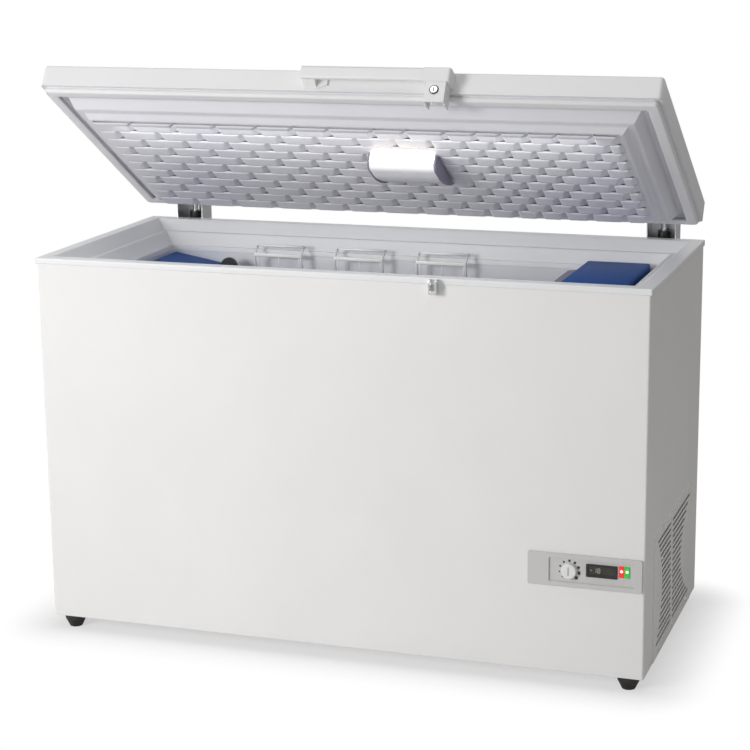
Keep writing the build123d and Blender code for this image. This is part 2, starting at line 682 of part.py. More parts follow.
with BuildPart() as keeper:
    keeper_top = RIM_Z - KEEPER_TOP_DROP
    keeper_low = keeper_top - KEEPER_H
    bead_low = RIM_Z - BEAD_H
    keeper_eye_y = FRONT - KEEPER_REACH / 2 - BEAD_OUT
    keeper_left = LOCK_X - KEEPER_T / 2
    ear_starts = (keeper_left, keeper_left + KEEPER_W - KEEPER_T)
    for start, nose in zip(ear_starts, (KEEPER_NOSE_R, KEEPER_T)):
        with BuildSketch(side_plane(start, FRONT - KEEPER_REACH / 2, (keeper_top + keeper_low) / 2)):
            ear = Rectangle(KEEPER_REACH, KEEPER_H)
            fillet(ear.vertices().group_by(Axis.X)[0], nose)
        extrude(amount=KEEPER_T)
    web_depth = KEEPER_REACH * 0.8
    slab(
        KEEPER_W,
        web_depth,
        keeper_low,
        keeper_low + KEEPER_T,
        x=keeper_left + KEEPER_W / 2,
        y=FRONT - web_depth / 2,
    )
    slab(
        KEEPER_W,
        BEAD_OUT,
        keeper_low,
        bead_low,
        x=keeper_left + KEEPER_W / 2,
        y=FRONT - BEAD_OUT / 2,
    )
    slab(
        KEEPER_W,
        BEAD_OUT,
        bead_low,
        RIM_Z,
        x=keeper_left + KEEPER_W / 2,
        y=FRONT - BEAD_OUT / 2,
        mode=Mode.SUBTRACT,
    )
    with BuildSketch(side_plane(keeper_left, keeper_eye_y, LID_Z + LOCK_UP - FINGER_R)):
        Circle(KEEPER_EYE_R)
    extrude(amount=KEEPER_T, mode=Mode.SUBTRACT)
save(keeper, "keeper")


# Lid

with BuildPart() as lid_shell:
    with BuildSketch(level(0, LID_Y, LID_Z)):
        RectangleRounded(LID_W, LID_D, LID_CORNER_R)
    extrude(amount=LID_T)
    fillet(lid_shell.faces().sort_by(Axis.Z)[-1].edges(), LID_EDGE_R)
    offset(amount=-LID_SHEET, openings=lid_shell.faces().sort_by(Axis.Z)[0])
raise_lid(lid_shell)
save(lid_shell, "lid_shell")


def lid_inner_slab(low, high):
    """A block that fills the lid's steel shell between two heights."""
    with BuildSketch(level(0, LID_Y, low)) as base:
        RectangleRounded(LID_W - 2 * LID_SHEET, LID_D - 2 * LID_SHEET, LID_CORNER_R - LID_SHEET)
    extrude(base.sketch, amount=high - low)


def plug(mode, out=0.0, down=0.0):
    """The stepped plug under the lid."""
    stepped(PLUG_PROFILE, LID_W, LID_D, LID_Z, LID_Y, out, down, mode)


with BuildPart() as lid_foam:
    lid_inner_slab(LID_Z + LID_LINER_T, LID_TOP - LID_SHEET)
    chamfer(lid_foam.faces().sort_by(Axis.Z)[-1].edges(), LID_EDGE_R)
    plug(Mode.ADD, out=-LID_LINER_T, down=-LID_LINER_T)
raise_lid(lid_foam)
save(lid_foam, "lid_foam")


def brick_joints(row):
    """Where one row of bricks is cut: every second row at the middles of its neighbours' bricks."""
    reach = FIELD_W / 2 - BRICK_MARGIN
    stretch = 2 * reach / sum(BRICK_LENGTHS)
    joints = [-reach + stretch * sum(BRICK_LENGTHS[:n]) for n in range(len(BRICK_LENGTHS) + 1)]
    if row % 2 == 0:
        return joints
    return [-reach] + [(left + right) / 2 for left, right in zip(joints, joints[1:])] + [reach]


def brick_field():
    """The raised bricks: low blocks with sloping sides, hanging from the lid's inner face."""
    row_depth = FIELD_D / BRICK_ROWS
    facing_down = Plane(origin=(0, LID_Y, FIELD_Z), x_dir=(1, 0, 0), z_dir=(0, 0, -1))
    slope = degrees(atan2(BRICK_SLOPE, BRICK_H))
    with BuildSketch(facing_down) as bricks:
        for row in range(BRICK_ROWS):
            y = FIELD_D / 2 - (row + 0.5) * row_depth
            joints = brick_joints(row)
            for left, right in zip(joints, joints[1:]):
                with Locations(((left + right) / 2, y)):
                    Rectangle(right - left - BRICK_GAP, row_depth - BRICK_GAP)
    extrude(bricks.sketch, amount=BRICK_H, taper=slope)


LAMP_FRONT = LID_FRONT + LAMP_SETBACK
LAMP_W = LAMP_RIGHT - LAMP_LEFT
LAMP_X = (LAMP_RIGHT + LAMP_LEFT) / 2

with BuildPart() as lid_liner:
    lid_inner_slab(LID_Z, LID_Z + LID_LINER_T)
    plug(Mode.ADD)
    plug(Mode.SUBTRACT, out=-LID_LINER_T, down=-LID_LINER_T)
    brick_field()
    slab(
        LAMP_W + 2 * PLAY,
        LAMP_D + 2 * PLAY,
        FIELD_Z - BRICK_H,
        FIELD_Z,
        x=LAMP_X,
        y=LAMP_FRONT + LAMP_D / 2,
        mode=Mode.SUBTRACT,
    )
raise_lid(lid_liner)
save(lid_liner, "lid_liner")

with BuildPart() as lid_gasket:
    gasket_low = RIM_Z + REST_GAP
    with BuildSketch(level(0, LID_Y, gasket_low)):
        outer = 2 * GASKET_INSET
        inner = 2 * (GASKET_INSET + GASKET_W)
        Rectangle(LID_W - outer, LID_D - outer)
        Rectangle(LID_W - inner, LID_D - inner, mode=Mode.SUBTRACT)
    extrude(amount=LID_Z - gasket_low)
    chamfer(lid_gasket.faces().sort_by(Axis.Z)[0].edges(), LID_SHEET)
raise_lid(lid_gasket)
save(lid_gasket, "lid_gasket")


# Lamp under the lid


def lamp_section(shrink=0.0):
    """The lamp's outline from the side: upright front, flat crown, long slope to the back."""
    low = FIELD_Z - LAMP_BASE_T
    front = LAMP_FRONT + shrink
    crown = FIELD_Z - LAMP_BASE_T - LAMP_DROP + shrink
    brow = low - LAMP_FACE_H
    with BuildLine() as outline:
        Polyline((LAMP_FRONT + LAMP_D - 2 * shrink, low), (front, low), (front, brow))
        crown_start = (front + LAMP_CROWN_IN, crown)
        crown_end = (front + LAMP_CROWN_END, crown)
        ThreePointArc((front, brow), (front + LAMP_BROW_IN, (brow + crown) / 2 - 1), crown_start)
        Line(crown_start, crown_end)
        RadiusArc(crown_end, (LAMP_FRONT + LAMP_D - 2 * shrink, low), -LAMP_D * 1.2)
    make_face(outline.edges())


with BuildPart() as lamp_base:
    slab(LAMP_W, LAMP_D, FIELD_Z - LAMP_BASE_T, FIELD_Z, x=LAMP_X, y=LAMP_FRONT + LAMP_D / 2)
raise_lid(lamp_base)
save(lamp_base, "lamp_base")

with BuildPart() as lamp_diffuser:
    with BuildSketch(side_plane(LAMP_LEFT + LAMP_CAP_T)):
        lamp_section()
    extrude(amount=LAMP_W - 2 * LAMP_CAP_T)
    with BuildSketch(side_plane(LAMP_LEFT + LAMP_CAP_T)):
        lamp_section(LAMP_SHELL)
    extrude(amount=LAMP_W - 2 * LAMP_CAP_T, mode=Mode.SUBTRACT)
raise_lid(lamp_diffuser)
save(lamp_diffuser, "lamp_diffuser")

for cap_name, start in (("lamp_cap_left", LAMP_LEFT), ("lamp_cap_right", LAMP_RIGHT - LAMP_CAP_T)):
    with BuildPart() as lamp_cap:
        with BuildSketch(side_plane(start)):
            lamp_section()
        extrude(amount=LAMP_CAP_T)
    raise_lid(lamp_cap)
    save(lamp_cap, cap_name)

with BuildPart() as lamp_tube:
    tube_y = LAMP_FRONT + LAMP_D * 0.3
    tube_z = FIELD_Z - LAMP_BASE_T - LAMP_DROP * 0.5
    with BuildSketch(side_plane(LAMP_LEFT + LAMP_CAP_T, tube_y, tube_z)):
        Circle(LAMP_TUBE_R)
    extrude(amount=LAMP_W - 2 * LAMP_CAP_T)
raise_lid(lamp_tube)
save(lamp_tube, "lamp_tube")


# Handle and lock

BAR_LOW = LID_Z + HANDLE_LOW
BAR_TOP = BAR_LOW + HANDLE_H
BAR_FRONT = LID_FRONT - HANDLE_REACH
BAR_BACK = BAR_FRONT + HANDLE_T

with BuildPart() as handle_bar:
    bar_middle = ((BAR_FRONT + BAR_BACK) / 2, (BAR_LOW + BAR_TOP) / 2)
    with BuildSketch(side_plane(HANDLE_LEFT, *bar_middle)):
        RectangleRounded(HANDLE_T, HANDLE_H, HANDLE_T * 0.35)
        with Locations((-HANDLE_T / 2, HANDLE_H * 0.36)):
            Rectangle(HANDLE_T * 0.25, HANDLE_H * 0.06, mode=Mode.SUBTRACT)
    extrude(amount=HANDLE_RIGHT - HANDLE_LEFT)
raise_lid(handle_bar)
save(handle_bar, "handle_bar")

with BuildPart() as handle_bracket_left:
    with BuildSketch(side_plane(HANDLE_LEFT)):
        with BuildLine():
            Polyline(
                (BAR_BACK, BAR_TOP - HANDLE_T * 0.3),
                (LID_FRONT, BAR_TOP),
                (LID_FRONT, LID_Z + HANDLE_LOW / 3),
                (BAR_BACK, BAR_LOW + HANDLE_T * 0.3),
                close=True,
            )
        make_face()
    extrude(amount=BRACKET_W)
    with BuildSketch(facing_front(HANDLE_LEFT + BRACKET_W, LID_FRONT, 0)):
        with BuildLine():
            Polyline(
                (0, LID_Z + HANDLE_LOW / 3),
                (BRACKET_W * 0.8, BAR_LOW),
                (BRACKET_W * 0.8, BAR_TOP - HANDLE_T),
                (0, BAR_TOP),
                close=True,
            )
        make_face()
    extrude(amount=HANDLE_T * 0.4)
raise_lid(handle_bracket_left)
save(handle_bracket_left, "handle_bracket_left")

with BuildPart() as handle_bracket_right:
    block_low = LID_Z + LOCK_RISE
    with BuildSketch(level(HANDLE_RIGHT + BLOCK_W / 2, (BAR_FRONT + LID_FRONT) / 2, block_low)):
        Rectangle(BLOCK_W, LID_FRONT - BAR_FRONT)
    extrude(amount=BAR_TOP - block_low + 1)
    front_edges = handle_bracket_right.edges().filter_by(Axis.Z).group_by(Axis.Y)[0]
    fillet(front_edges.sort_by(Axis.X)[-1], HANDLE_T * 0.6)
    fillet(handle_bracket_right.edges().filter_by(Axis.X).group_by(Axis.Z)[-1].sort_by(Axis.Y)[0], LOCK_WALL)
raise_lid(handle_bracket_right)
save(handle_bracket_right, "handle_bracket_right")

LOCK_FRONT = LID_FRONT - LOCK_REACH
LOCK_BACK = LID_FRONT + LOCK_REAR
LOCK_LOW = LID_Z - LOCK_DROP
LOCK_TOP = LID_Z + LOCK_RISE
LOCK_Z = LID_Z + LOCK_UP
LOCK_W = LOCK_RIGHT - LOCK_LEFT
LOCK_MID = (LOCK_LEFT + LOCK_RIGHT) / 2

with BuildPart() as lock_housing:
    with BuildSketch(side_plane(LOCK_LEFT)):
        with BuildLine():
            Polyline(
                (LOCK_FRONT, LOCK_TOP),
                (LOCK_FRONT + LOCK_WALL, LOCK_LOW),
                (LOCK_BACK, LOCK_LOW),
                (LOCK_BACK, LID_Z),
                (LID_FRONT, LID_Z),
                (LID_FRONT, LOCK_TOP),
                close=True,
            )
        make_face()
    extrude(amount=LOCK_W)
    pocket_w = LOCK_W - 2 * LOCK_WALL
    pocket_front = LOCK_FRONT + LOCK_FACE_T
    slab(
        pocket_w,
        LOCK_BACK - pocket_front,
        LOCK_LOW,
        LID_Z,
        x=LOCK_MID,
        y=(LOCK_BACK + pocket_front) / 2,
        mode=Mode.SUBTRACT,
    )
    slab(
        pocket_w,
        LID_FRONT - pocket_front,
        LID_Z,
        LOCK_TOP - LOCK_WALL / 2,
        x=LOCK_MID,
        y=(LID_FRONT + pocket_front) / 2,
        mode=Mode.SUBTRACT,
    )
    with BuildSketch(facing_front(LOCK_X, LOCK_FRONT - LOCK_WALL, LOCK_Z)):
        Circle(CYLINDER_R + RUN_FIT)
    extrude(amount=-LOCK_FACE_T - 2 * LOCK_WALL, mode=Mode.SUBTRACT)
    with BuildSketch(level(LOCK_MID, (LOCK_FRONT + LOCK_BACK) / 2, LOCK_LOW)):
        with GridLocations(LOCK_W - LOCK_WALL, 0, 2, 1):
            Rectangle(LOCK_WALL, LOCK_REACH / 4)
    extrude(amount=-LOCK_WALL)
raise_lid(lock_housing)
save(lock_housing, "lock_housing")

with BuildPart() as lock_cylinder:
    face_y = LOCK_FRONT - LOCK_WALL / 3
    inner_y = LOCK_FRONT + LOCK_FACE_T + LOCK_WALL
    with BuildSketch(facing_front(LOCK_X, inner_y, LOCK_Z)):
        Circle(CYLINDER_R)
    extrude(amount=inner_y - face_y)
    with BuildSketch(facing_front(LOCK_X, face_y, LOCK_Z)):
        Rectangle(KNOB_SLOT_W / 2, CYLINDER_R)
    extrude(amount=-LOCK_WALL, mode=Mode.SUBTRACT)
    with BuildSketch(facing_front(LOCK_X, inner_y, LOCK_Z)):
        Circle(SHAFT_R)
    extrude(amount=-(keeper_eye_y - FINGER_W / 2 - inner_y))
raise_lid(lock_cylinder)
save(lock_cylinder, "lock_cylinder")


def arc_band(inner, outer, start, sweep):
    """A flat piece of a ring, about the sketch's own origin."""
    def rim_point(radius, angle):
        return (radius * cos(radians(angle)), radius * sin(radians(angle)))

    middle = start + sweep / 2
    end = start + sweep
    with BuildLine() as outline:
        ThreePointArc(rim_point(outer, start), rim_point(outer, middle), rim_point(outer, end))
        Line(rim_point(outer, end), rim_point(inner, end))
        ThreePointArc(rim_point(inner, end), rim_point(inner, middle), rim_point(inner, start))
        Line(rim_point(inner, start), rim_point(outer, start))
    make_face(outline.edges())


with BuildPart() as lock_finger:
    with BuildSketch(facing_front(LOCK_X, keeper_eye_y + FINGER_W / 2, LOCK_Z)):
        Circle(SHAFT_R + PLAY)
        arc_band(FINGER_R - FINGER_T / 2, FINGER_R + FINGER_T / 2, FINGER_START, FINGER_SWEEP)
        arc_band(SHAFT_R, FINGER_R, FINGER_START, SPOKE_SWEEP)
    extrude(amount=FINGER_W)
raise_lid(lock_finger)
save(lock_finger, "lock_finger")


# Hinges

HINGE_SIDES = (("left", LEFT + HINGE_INSET), ("right", RIGHT - HINGE_INSET))
CHANNEL_LOW = PIVOT_Z - HINGE_DROP
CHANNEL_BACK = BACK + HINGE_DEPTH
CHEEK_FRONT = BACK + BEAD_OUT + REST_GAP
LEAF_EAR_OUT = HINGE_W / 2 - HINGE_T - PLAY

for side, hinge_x in HINGE_SIDES:
    with BuildPart() as hinge_channel:
        for start in (hinge_x - HINGE_W / 2, hinge_x + HINGE_W / 2 - HINGE_T):
            with BuildSketch(side_plane(start)):
                cheek_top = PIVOT_Z - HINGE_EAR_R / 2
                with Locations(((CHEEK_FRONT + CHANNEL_BACK) / 2, (CHANNEL_LOW + cheek_top) / 2)):
                    Rectangle(CHANNEL_BACK - CHEEK_FRONT, cheek_top - CHANNEL_LOW)
                with Locations((PIVOT_Y, PIVOT_Z)):
                    Circle(HINGE_EAR_R)
                    Circle(HINGE_PIN_R + RUN_FIT, mode=Mode.SUBTRACT)
            extrude(amount=HINGE_T)
        slab(
            HINGE_W,
            HINGE_T,
            CHANNEL_LOW,
            PIVOT_Z - HINGE_EAR_R,
            x=hinge_x,
            y=CHANNEL_BACK - HINGE_T / 2,
        )
        slab(
            HINGE_W,
            CHANNEL_BACK - CHEEK_FRONT,
            CHANNEL_LOW,
            CHANNEL_LOW + HINGE_T,
            x=hinge_x,
            y=(CHANNEL_BACK + CHEEK_FRONT) / 2,
        )
        flange_high = RIM_Z - 2 * BEAD_H
        slab(
            HINGE_W * 1.5,
            CHEEK_FRONT - BACK,
            CHANNEL_LOW,
            flange_high,
            x=hinge_x,
            y=(BACK + CHEEK_FRONT) / 2,
        )
        slab(
            HINGE_W - 2 * HINGE_T,
            CHEEK_FRONT - BACK,
            CHANNEL_LOW + HINGE_T,
            flange_high,
            x=hinge_x,
            y=(BACK + CHEEK_FRONT) / 2,
            mode=Mode.SUBTRACT,
        )
    save(hinge_channel, f"hinge_channel_{side}")

    with BuildPart() as hinge_leaf:
        leaf_low = LID_Z + (LID_T - LEAF_PLATE_H) / 2
        leaf_high = leaf_low + LEAF_PLATE_H
        slab(
            2 * LEAF_EAR_OUT,
            LEAF_T,
            leaf_low,
            leaf_high,
            x=hinge_x,
            y=LID_BACK + LEAF_T / 2,
        )
        for start in (hinge_x - LEAF_EAR_OUT, hinge_x + LEAF_EAR_OUT - LEAF_T):
            with BuildSketch(side_plane(start)):
                with BuildLine():
                    Polyline(
                        (LID_BACK, leaf_low),
                        (LID_BACK, leaf_high),
                        (PIVOT_Y, PIVOT_Z + LEAF_EYE_R),
                        (PIVOT_Y, PIVOT_Z - LEAF_EYE_R),
                        close=True,
                    )
                make_face()
                with Locations((PIVOT_Y, PIVOT_Z)):
                    Circle(LEAF_EYE_R)
            extrude(amount=LEAF_T)
        with BuildSketch(side_plane(hinge_x - LEAF_EAR_OUT, PIVOT_Y, PIVOT_Z)):
            Circle(LEAF_EYE_R * 0.6)
        extrude(amount=2 * LEAF_EAR_OUT)
        with BuildSketch(side_plane(hinge_x - CAM_W / 2, PIVOT_Y, PIVOT_Z)):
            Circle(CAM_R)
        extrude(amount=CAM_W)
        with BuildSketch(side_plane(hinge_x - HINGE_W / 2, PIVOT_Y, PIVOT_Z)):
            Circle(HINGE_PIN_R + RUN_FIT)
        extrude(amount=HINGE_W, mode=Mode.SUBTRACT)
    raise_lid(hinge_leaf)
    save(hinge_leaf, f"hinge_leaf_{side}")

with BuildPart() as hinge_pins:
    for side, hinge_x in HINGE_SIDES:
        with BuildSketch(side_plane(hinge_x - HINGE_W / 2 - HINGE_HEAD_T, PIVOT_Y, PIVOT_Z)):
            Circle(HINGE_HEAD_R)
        extrude(amount=HINGE_HEAD_T)
        with BuildSketch(side_plane(hinge_x - HINGE_W / 2, PIVOT_Y, PIVOT_Z)):
            Circle(HINGE_PIN_R)
        extrude(amount=HINGE_W)
        with BuildSketch(side_plane(hinge_x + HINGE_W / 2, PIVOT_Y, PIVOT_Z)):
            Circle(HINGE_HEAD_R)
        extrude(amount=HINGE_HEAD_T)
save(hinge_pins, "hinge_pins")

CARTRIDGE_LOW = CHANNEL_LOW + HINGE_T
CARTRIDGE_TOP = CARTRIDGE_LOW + CARTRIDGE_H

with BuildPart() as spring_cartridges:
    for side, hinge_x in HINGE_SIDES:
        with BuildSketch(level(hinge_x, PIVOT_Y, CARTRIDGE_LOW)):
            Circle(CARTRIDGE_R)
        extrude(amount=CARTRIDGE_H)
save(spring_cartridges, "spring_cartridges")

with BuildPart() as hinge_plungers:
    for side, hinge_x in HINGE_SIDES:
        with BuildSketch(level(hinge_x, PIVOT_Y, CARTRIDGE_TOP)):
            Circle(PLUNGER_R)
        extrude(amount=PIVOT_Z - CAM_R - REST_GAP - CARTRIDGE_TOP)
save(hinge_plungers, "hinge_plungers")


# Back and tank fittings

with BuildPart() as power_gland:
    with BuildSketch(facing_front(GLAND_X, BACK, GLAND_Z)):
        RegularPolygon(GLAND_FLANGE_R, 6)
    extrude(amount=-GLAND_PROUD / 3)
    with BuildSketch(facing_front(GLAND_X, BACK - GLAND_PROUD, GLAND_Z)):
        Circle(GLAND_R - RUN_FIT)
    extrude(amount=-2 * GLAND_PROUD)
    with BuildSketch(facing_front(GLAND_X, BACK - GLAND_PROUD, GLAND_Z)):
        Circle(GLAND_R / 2)
    extrude(amount=-2 * GLAND_PROUD, mode=Mode.SUBTRACT)
save(power_gland, "power_gland")

with BuildPart() as drain_plug:
    with BuildSketch(level(DRAIN_X, CABINET_Y, FLOOR_Z)):
        Circle(DRAIN_R)
    extrude(amount=DRAIN_T)
    slab(DRAIN_R, DRAIN_T / 2, FLOOR_Z + DRAIN_T, FLOOR_Z + 2 * DRAIN_T, x=DRAIN_X)
save(drain_plug, "drain_plug")


# Wire baskets

BASKET_LOW = FLOOR_Z + REST_GAP
BASKET_H = BASKET_TOP - BASKET_LOW
PIN_Z = BASKET_TOP + GRIP_PIVOT_UP
PIN_OFF = BASKET_D / 2 - GRIP_PIVOT_IN


def wire_frame(planes, width, height, thick, open_top=False):
    """Square wires bent to rectangles, or to a U that is open at the top, one on each of the planes."""
    with BuildSketch(*planes) as frame:
        Rectangle(width, height)
        with Locations((0, thick / 2 if open_top else 0)):
            Rectangle(width - 2 * thick, height - (1 if open_top else 2) * thick, mode=Mode.SUBTRACT)
    extrude(frame.sketch, amount=thick / 2, both=True)


def spread(count, span):
    """Evenly spaced places about the middle."""
    return [span * (n / (count - 1) - 0.5) for n in range(count)]


HANDLE_ENDS = (("front", -1), ("rear", 1))

with BuildPart() as basket:
    upright_h = BASKET_H - RIM_WIRE / 2
    upright_z = BASKET_LOW + upright_h / 2
    wire_frame([level(0, CABINET_Y, BASKET_TOP - RIM_WIRE / 2)], BASKET_W, BASKET_D, RIM_WIRE)
    ring_planes = [level(0, CABINET_Y, BASKET_LOW + WIRE / 2 + BASKET_H * n / RING_COUNT) for n in range(RING_COUNT)]
    wire_frame(ring_planes, BASKET_W, BASKET_D, WIRE)
    cross_y = spread(CROSS_WIRE_COUNT, BASKET_D - 4 * RIM_WIRE)
    cross_planes = [facing_front(0, CABINET_Y + y, upright_z) for y in cross_y]
    wire_frame(cross_planes, BASKET_W, upright_h, WIRE, open_top=True)
    for x in spread(LONG_WIRE_COUNT, BASKET_W - 4 * RIM_WIRE):
        wire_frame([side_plane(x, CABINET_Y, upright_z)], BASKET_D, upright_h, WIRE, open_top=True)
    for place, outward in HANDLE_ENDS:
        pin_y = CABINET_Y + outward * PIN_OFF
        lug_reach = BASKET_D / 2 - PIN_OFF
        lug_x = GRIP_W / 2 + PLAY + LUG_T / 2
        with BuildSketch(side_plane(-lug_x, pin_y, PIN_Z), side_plane(lug_x, pin_y, PIN_Z)):
            Circle(LUG_R)
            with Locations((outward * lug_reach / 2, -GRIP_PIVOT_UP - RIM_WIRE / 2)):
                Rectangle(lug_reach, RIM_WIRE)
            with Locations((outward * LUG_R / 2, -GRIP_PIVOT_UP / 2 - RIM_WIRE / 2)):
                Rectangle(LUG_R, GRIP_PIVOT_UP + RIM_WIRE)
            Circle(GRIP_PIN_R + RUN_FIT, mode=Mode.SUBTRACT)
        extrude(amount=LUG_T / 2, both=True)

for number, basket_x in enumerate(BASKET_X, start=1):
    with BuildPart() as placed_basket:
        add(basket.part.moved(Location((basket_x, 0, 0))))
    save(placed_basket, f"basket_{number}")

for place, outward in HANDLE_ENDS:
    pin_y = CABINET_Y + outward * PIN_OFF
    rear_rail = (outward * REAR_RAIL_OUT, REAR_RAIL_UP)
    front_rail = (-outward * FRONT_RAIL_IN, FRONT_RAIL_UP)
    foot = outward * LUG_R * 0.6
    with BuildPart() as basket_handle:
        for arm in (-1, 1):
            arm_x = arm * (GRIP_W / 2 - GRIP_ARM_T / 2)
            with BuildSketch(side_plane(arm_x, pin_y, PIN_Z)):
                with BuildLine():
                    Polyline((-foot, 0), (foot, 0), rear_rail, front_rail, close=True)
                make_face()
                Circle(abs(foot))
            extrude(amount=GRIP_ARM_T / 2, both=True)
            with BuildSketch(side_plane(arm_x, pin_y, PIN_Z)):
                Circle(GRIP_PIN_R)
            extrude(amount=arm * (GRIP_ARM_T / 2 + PLAY + LUG_T))
        with BuildSketch(side_plane(-GRIP_W / 2, pin_y, PIN_Z)):
            with Locations(rear_rail, front_rail):
                Rectangle(GRIP_RAIL, GRIP_RAIL)
            with BuildLine():
                Polyline(
                    (rear_rail[0], rear_rail[1] + GRIP_RAIL * 0.2),
                    (front_rail[0], front_rail[1] + GRIP_RAIL * 0.2),
                    (front_rail[0], front_rail[1] - GRIP_RAIL * 0.2),
                    (rear_rail[0], rear_rail[1] - GRIP_RAIL * 0.2),
                    close=True,
                )
            make_face()
        extrude(amount=GRIP_W)
    for number, basket_x in enumerate(BASKET_X, start=1):
        with BuildPart() as placed_handle:
            add(basket_handle.part.moved(Location((basket_x, 0, 0))))
        save(placed_handle, f"basket_{number}_handle_{place}")


# Ice packs


def ice_pack(width, depth, height, place):
    """One flat ice pack with cut upright corners, its underside's middle at the place."""
    with BuildSketch(place) as outline:
        pack = Rectangle(width, depth)
        chamfer(pack.vertices(), PACK_CORNER)
    extrude(outline.sketch, amount=height)


with BuildPart() as ice_packs_right:
    pack_y = TANK_BACK - REST_GAP - PACK_D / 2
    for n in range(PACK_COUNT):
        z = STEP_Z + REST_GAP + n * (PACK_H + REST_GAP)
        ice_pack(PACK_W, PACK_D, PACK_H, level(PACK_X, pack_y, z))
save(ice_packs_right, "ice_packs_right")

with BuildPart() as ice_packs_left:
    small_x = -TANK_W / 2 + REST_GAP + SMALL_W / 2
    small_y = TANK_BACK - REST_GAP - SMALL_D / 2
    for n in range(SMALL_COUNT):
        z = FLOOR_Z + REST_GAP + n * (SMALL_H + REST_GAP)
        ice_pack(SMALL_W, SMALL_D, SMALL_H, level(small_x, small_y, z))
    tilt = radians(SMALL_TILT)
    stack_top = FLOOR_Z + SMALL_COUNT * (SMALL_H + REST_GAP)
    lean = Plane(
        origin=(
            -TANK_W / 2 + REST_GAP + SMALL_W / 2 * cos(tilt),
            small_y,
            stack_top + REST_GAP + SMALL_W / 2 * sin(tilt),
        ),
        x_dir=(cos(tilt), 0, -sin(tilt)),
        z_dir=(sin(tilt), 0, cos(tilt)),
    )
    ice_pack(SMALL_W, SMALL_D, SMALL_H, lean)
save(ice_packs_left, "ice_packs_left")

with BuildPart() as grey_pack:
    grey_x = PACK_X - PACK_W / 2 - REST_GAP - GREY_W / 2
    grey_y = TANK_BACK - REST_GAP - GREY_D / 2
    ice_pack(GREY_W, GREY_D, GREY_TOP - STEP_Z - REST_GAP, level(grey_x, grey_y, STEP_Z + REST_GAP))
save(grey_pack, "grey_pack")

with BuildPart() as thermometer:
    basket_left = BASKET_X[0] - BASKET_W / 2
    dial_x = basket_left - THERMOMETER_R - REST_GAP
    with BuildSketch(facing_front(dial_x, THERMOMETER_Y, THERMOMETER_Z)):
        Circle(THERMOMETER_R)
    extrude(amount=THERMOMETER_T)
    chamfer(thermometer.faces().sort_by(Axis.Y)[0].edges(), CLIP_T)
    clip_end = basket_left + RIM_WIRE
    clip_low = BASKET_TOP + REST_GAP
    slab(
        clip_end - dial_x,
        CLIP_T,
        clip_low,
        clip_low + RIM_WIRE,
        x=(clip_end + dial_x) / 2,
        y=THERMOMETER_Y + CLIP_T / 2,
    )
save(thermometer, "thermometer")
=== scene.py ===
import math

import bmesh
import bpy
from mathutils import Matrix, Vector


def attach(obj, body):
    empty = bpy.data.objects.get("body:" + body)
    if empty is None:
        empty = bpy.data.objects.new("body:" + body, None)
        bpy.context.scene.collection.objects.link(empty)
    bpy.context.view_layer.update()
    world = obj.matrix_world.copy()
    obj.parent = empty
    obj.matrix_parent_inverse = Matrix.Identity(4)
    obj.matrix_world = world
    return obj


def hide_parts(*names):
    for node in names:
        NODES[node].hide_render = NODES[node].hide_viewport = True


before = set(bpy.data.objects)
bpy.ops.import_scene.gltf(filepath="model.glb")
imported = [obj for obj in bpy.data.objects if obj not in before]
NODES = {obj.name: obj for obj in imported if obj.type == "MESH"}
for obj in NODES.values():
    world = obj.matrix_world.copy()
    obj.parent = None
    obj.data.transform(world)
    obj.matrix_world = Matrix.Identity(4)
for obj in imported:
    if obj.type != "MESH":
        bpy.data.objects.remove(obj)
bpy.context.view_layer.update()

# Sizes, in metres, as in the part
OPEN = math.radians(32.0)
PIVOT = Vector((0.0, 0.299, 0.857))
LID_W, LID_FRONT, LID_BACK = 1.264, -0.312, 0.257
LID_Y, LID_D = (LID_FRONT + LID_BACK) / 2, LID_BACK - LID_FRONT
LID_Z = 0.808
FIELD_Z = 0.771
RAISED = Matrix.Translation(PIVOT) @ Matrix.Rotation(-OPEN, 4, "X") @ Matrix.Translation(-PIVOT)


# Materials


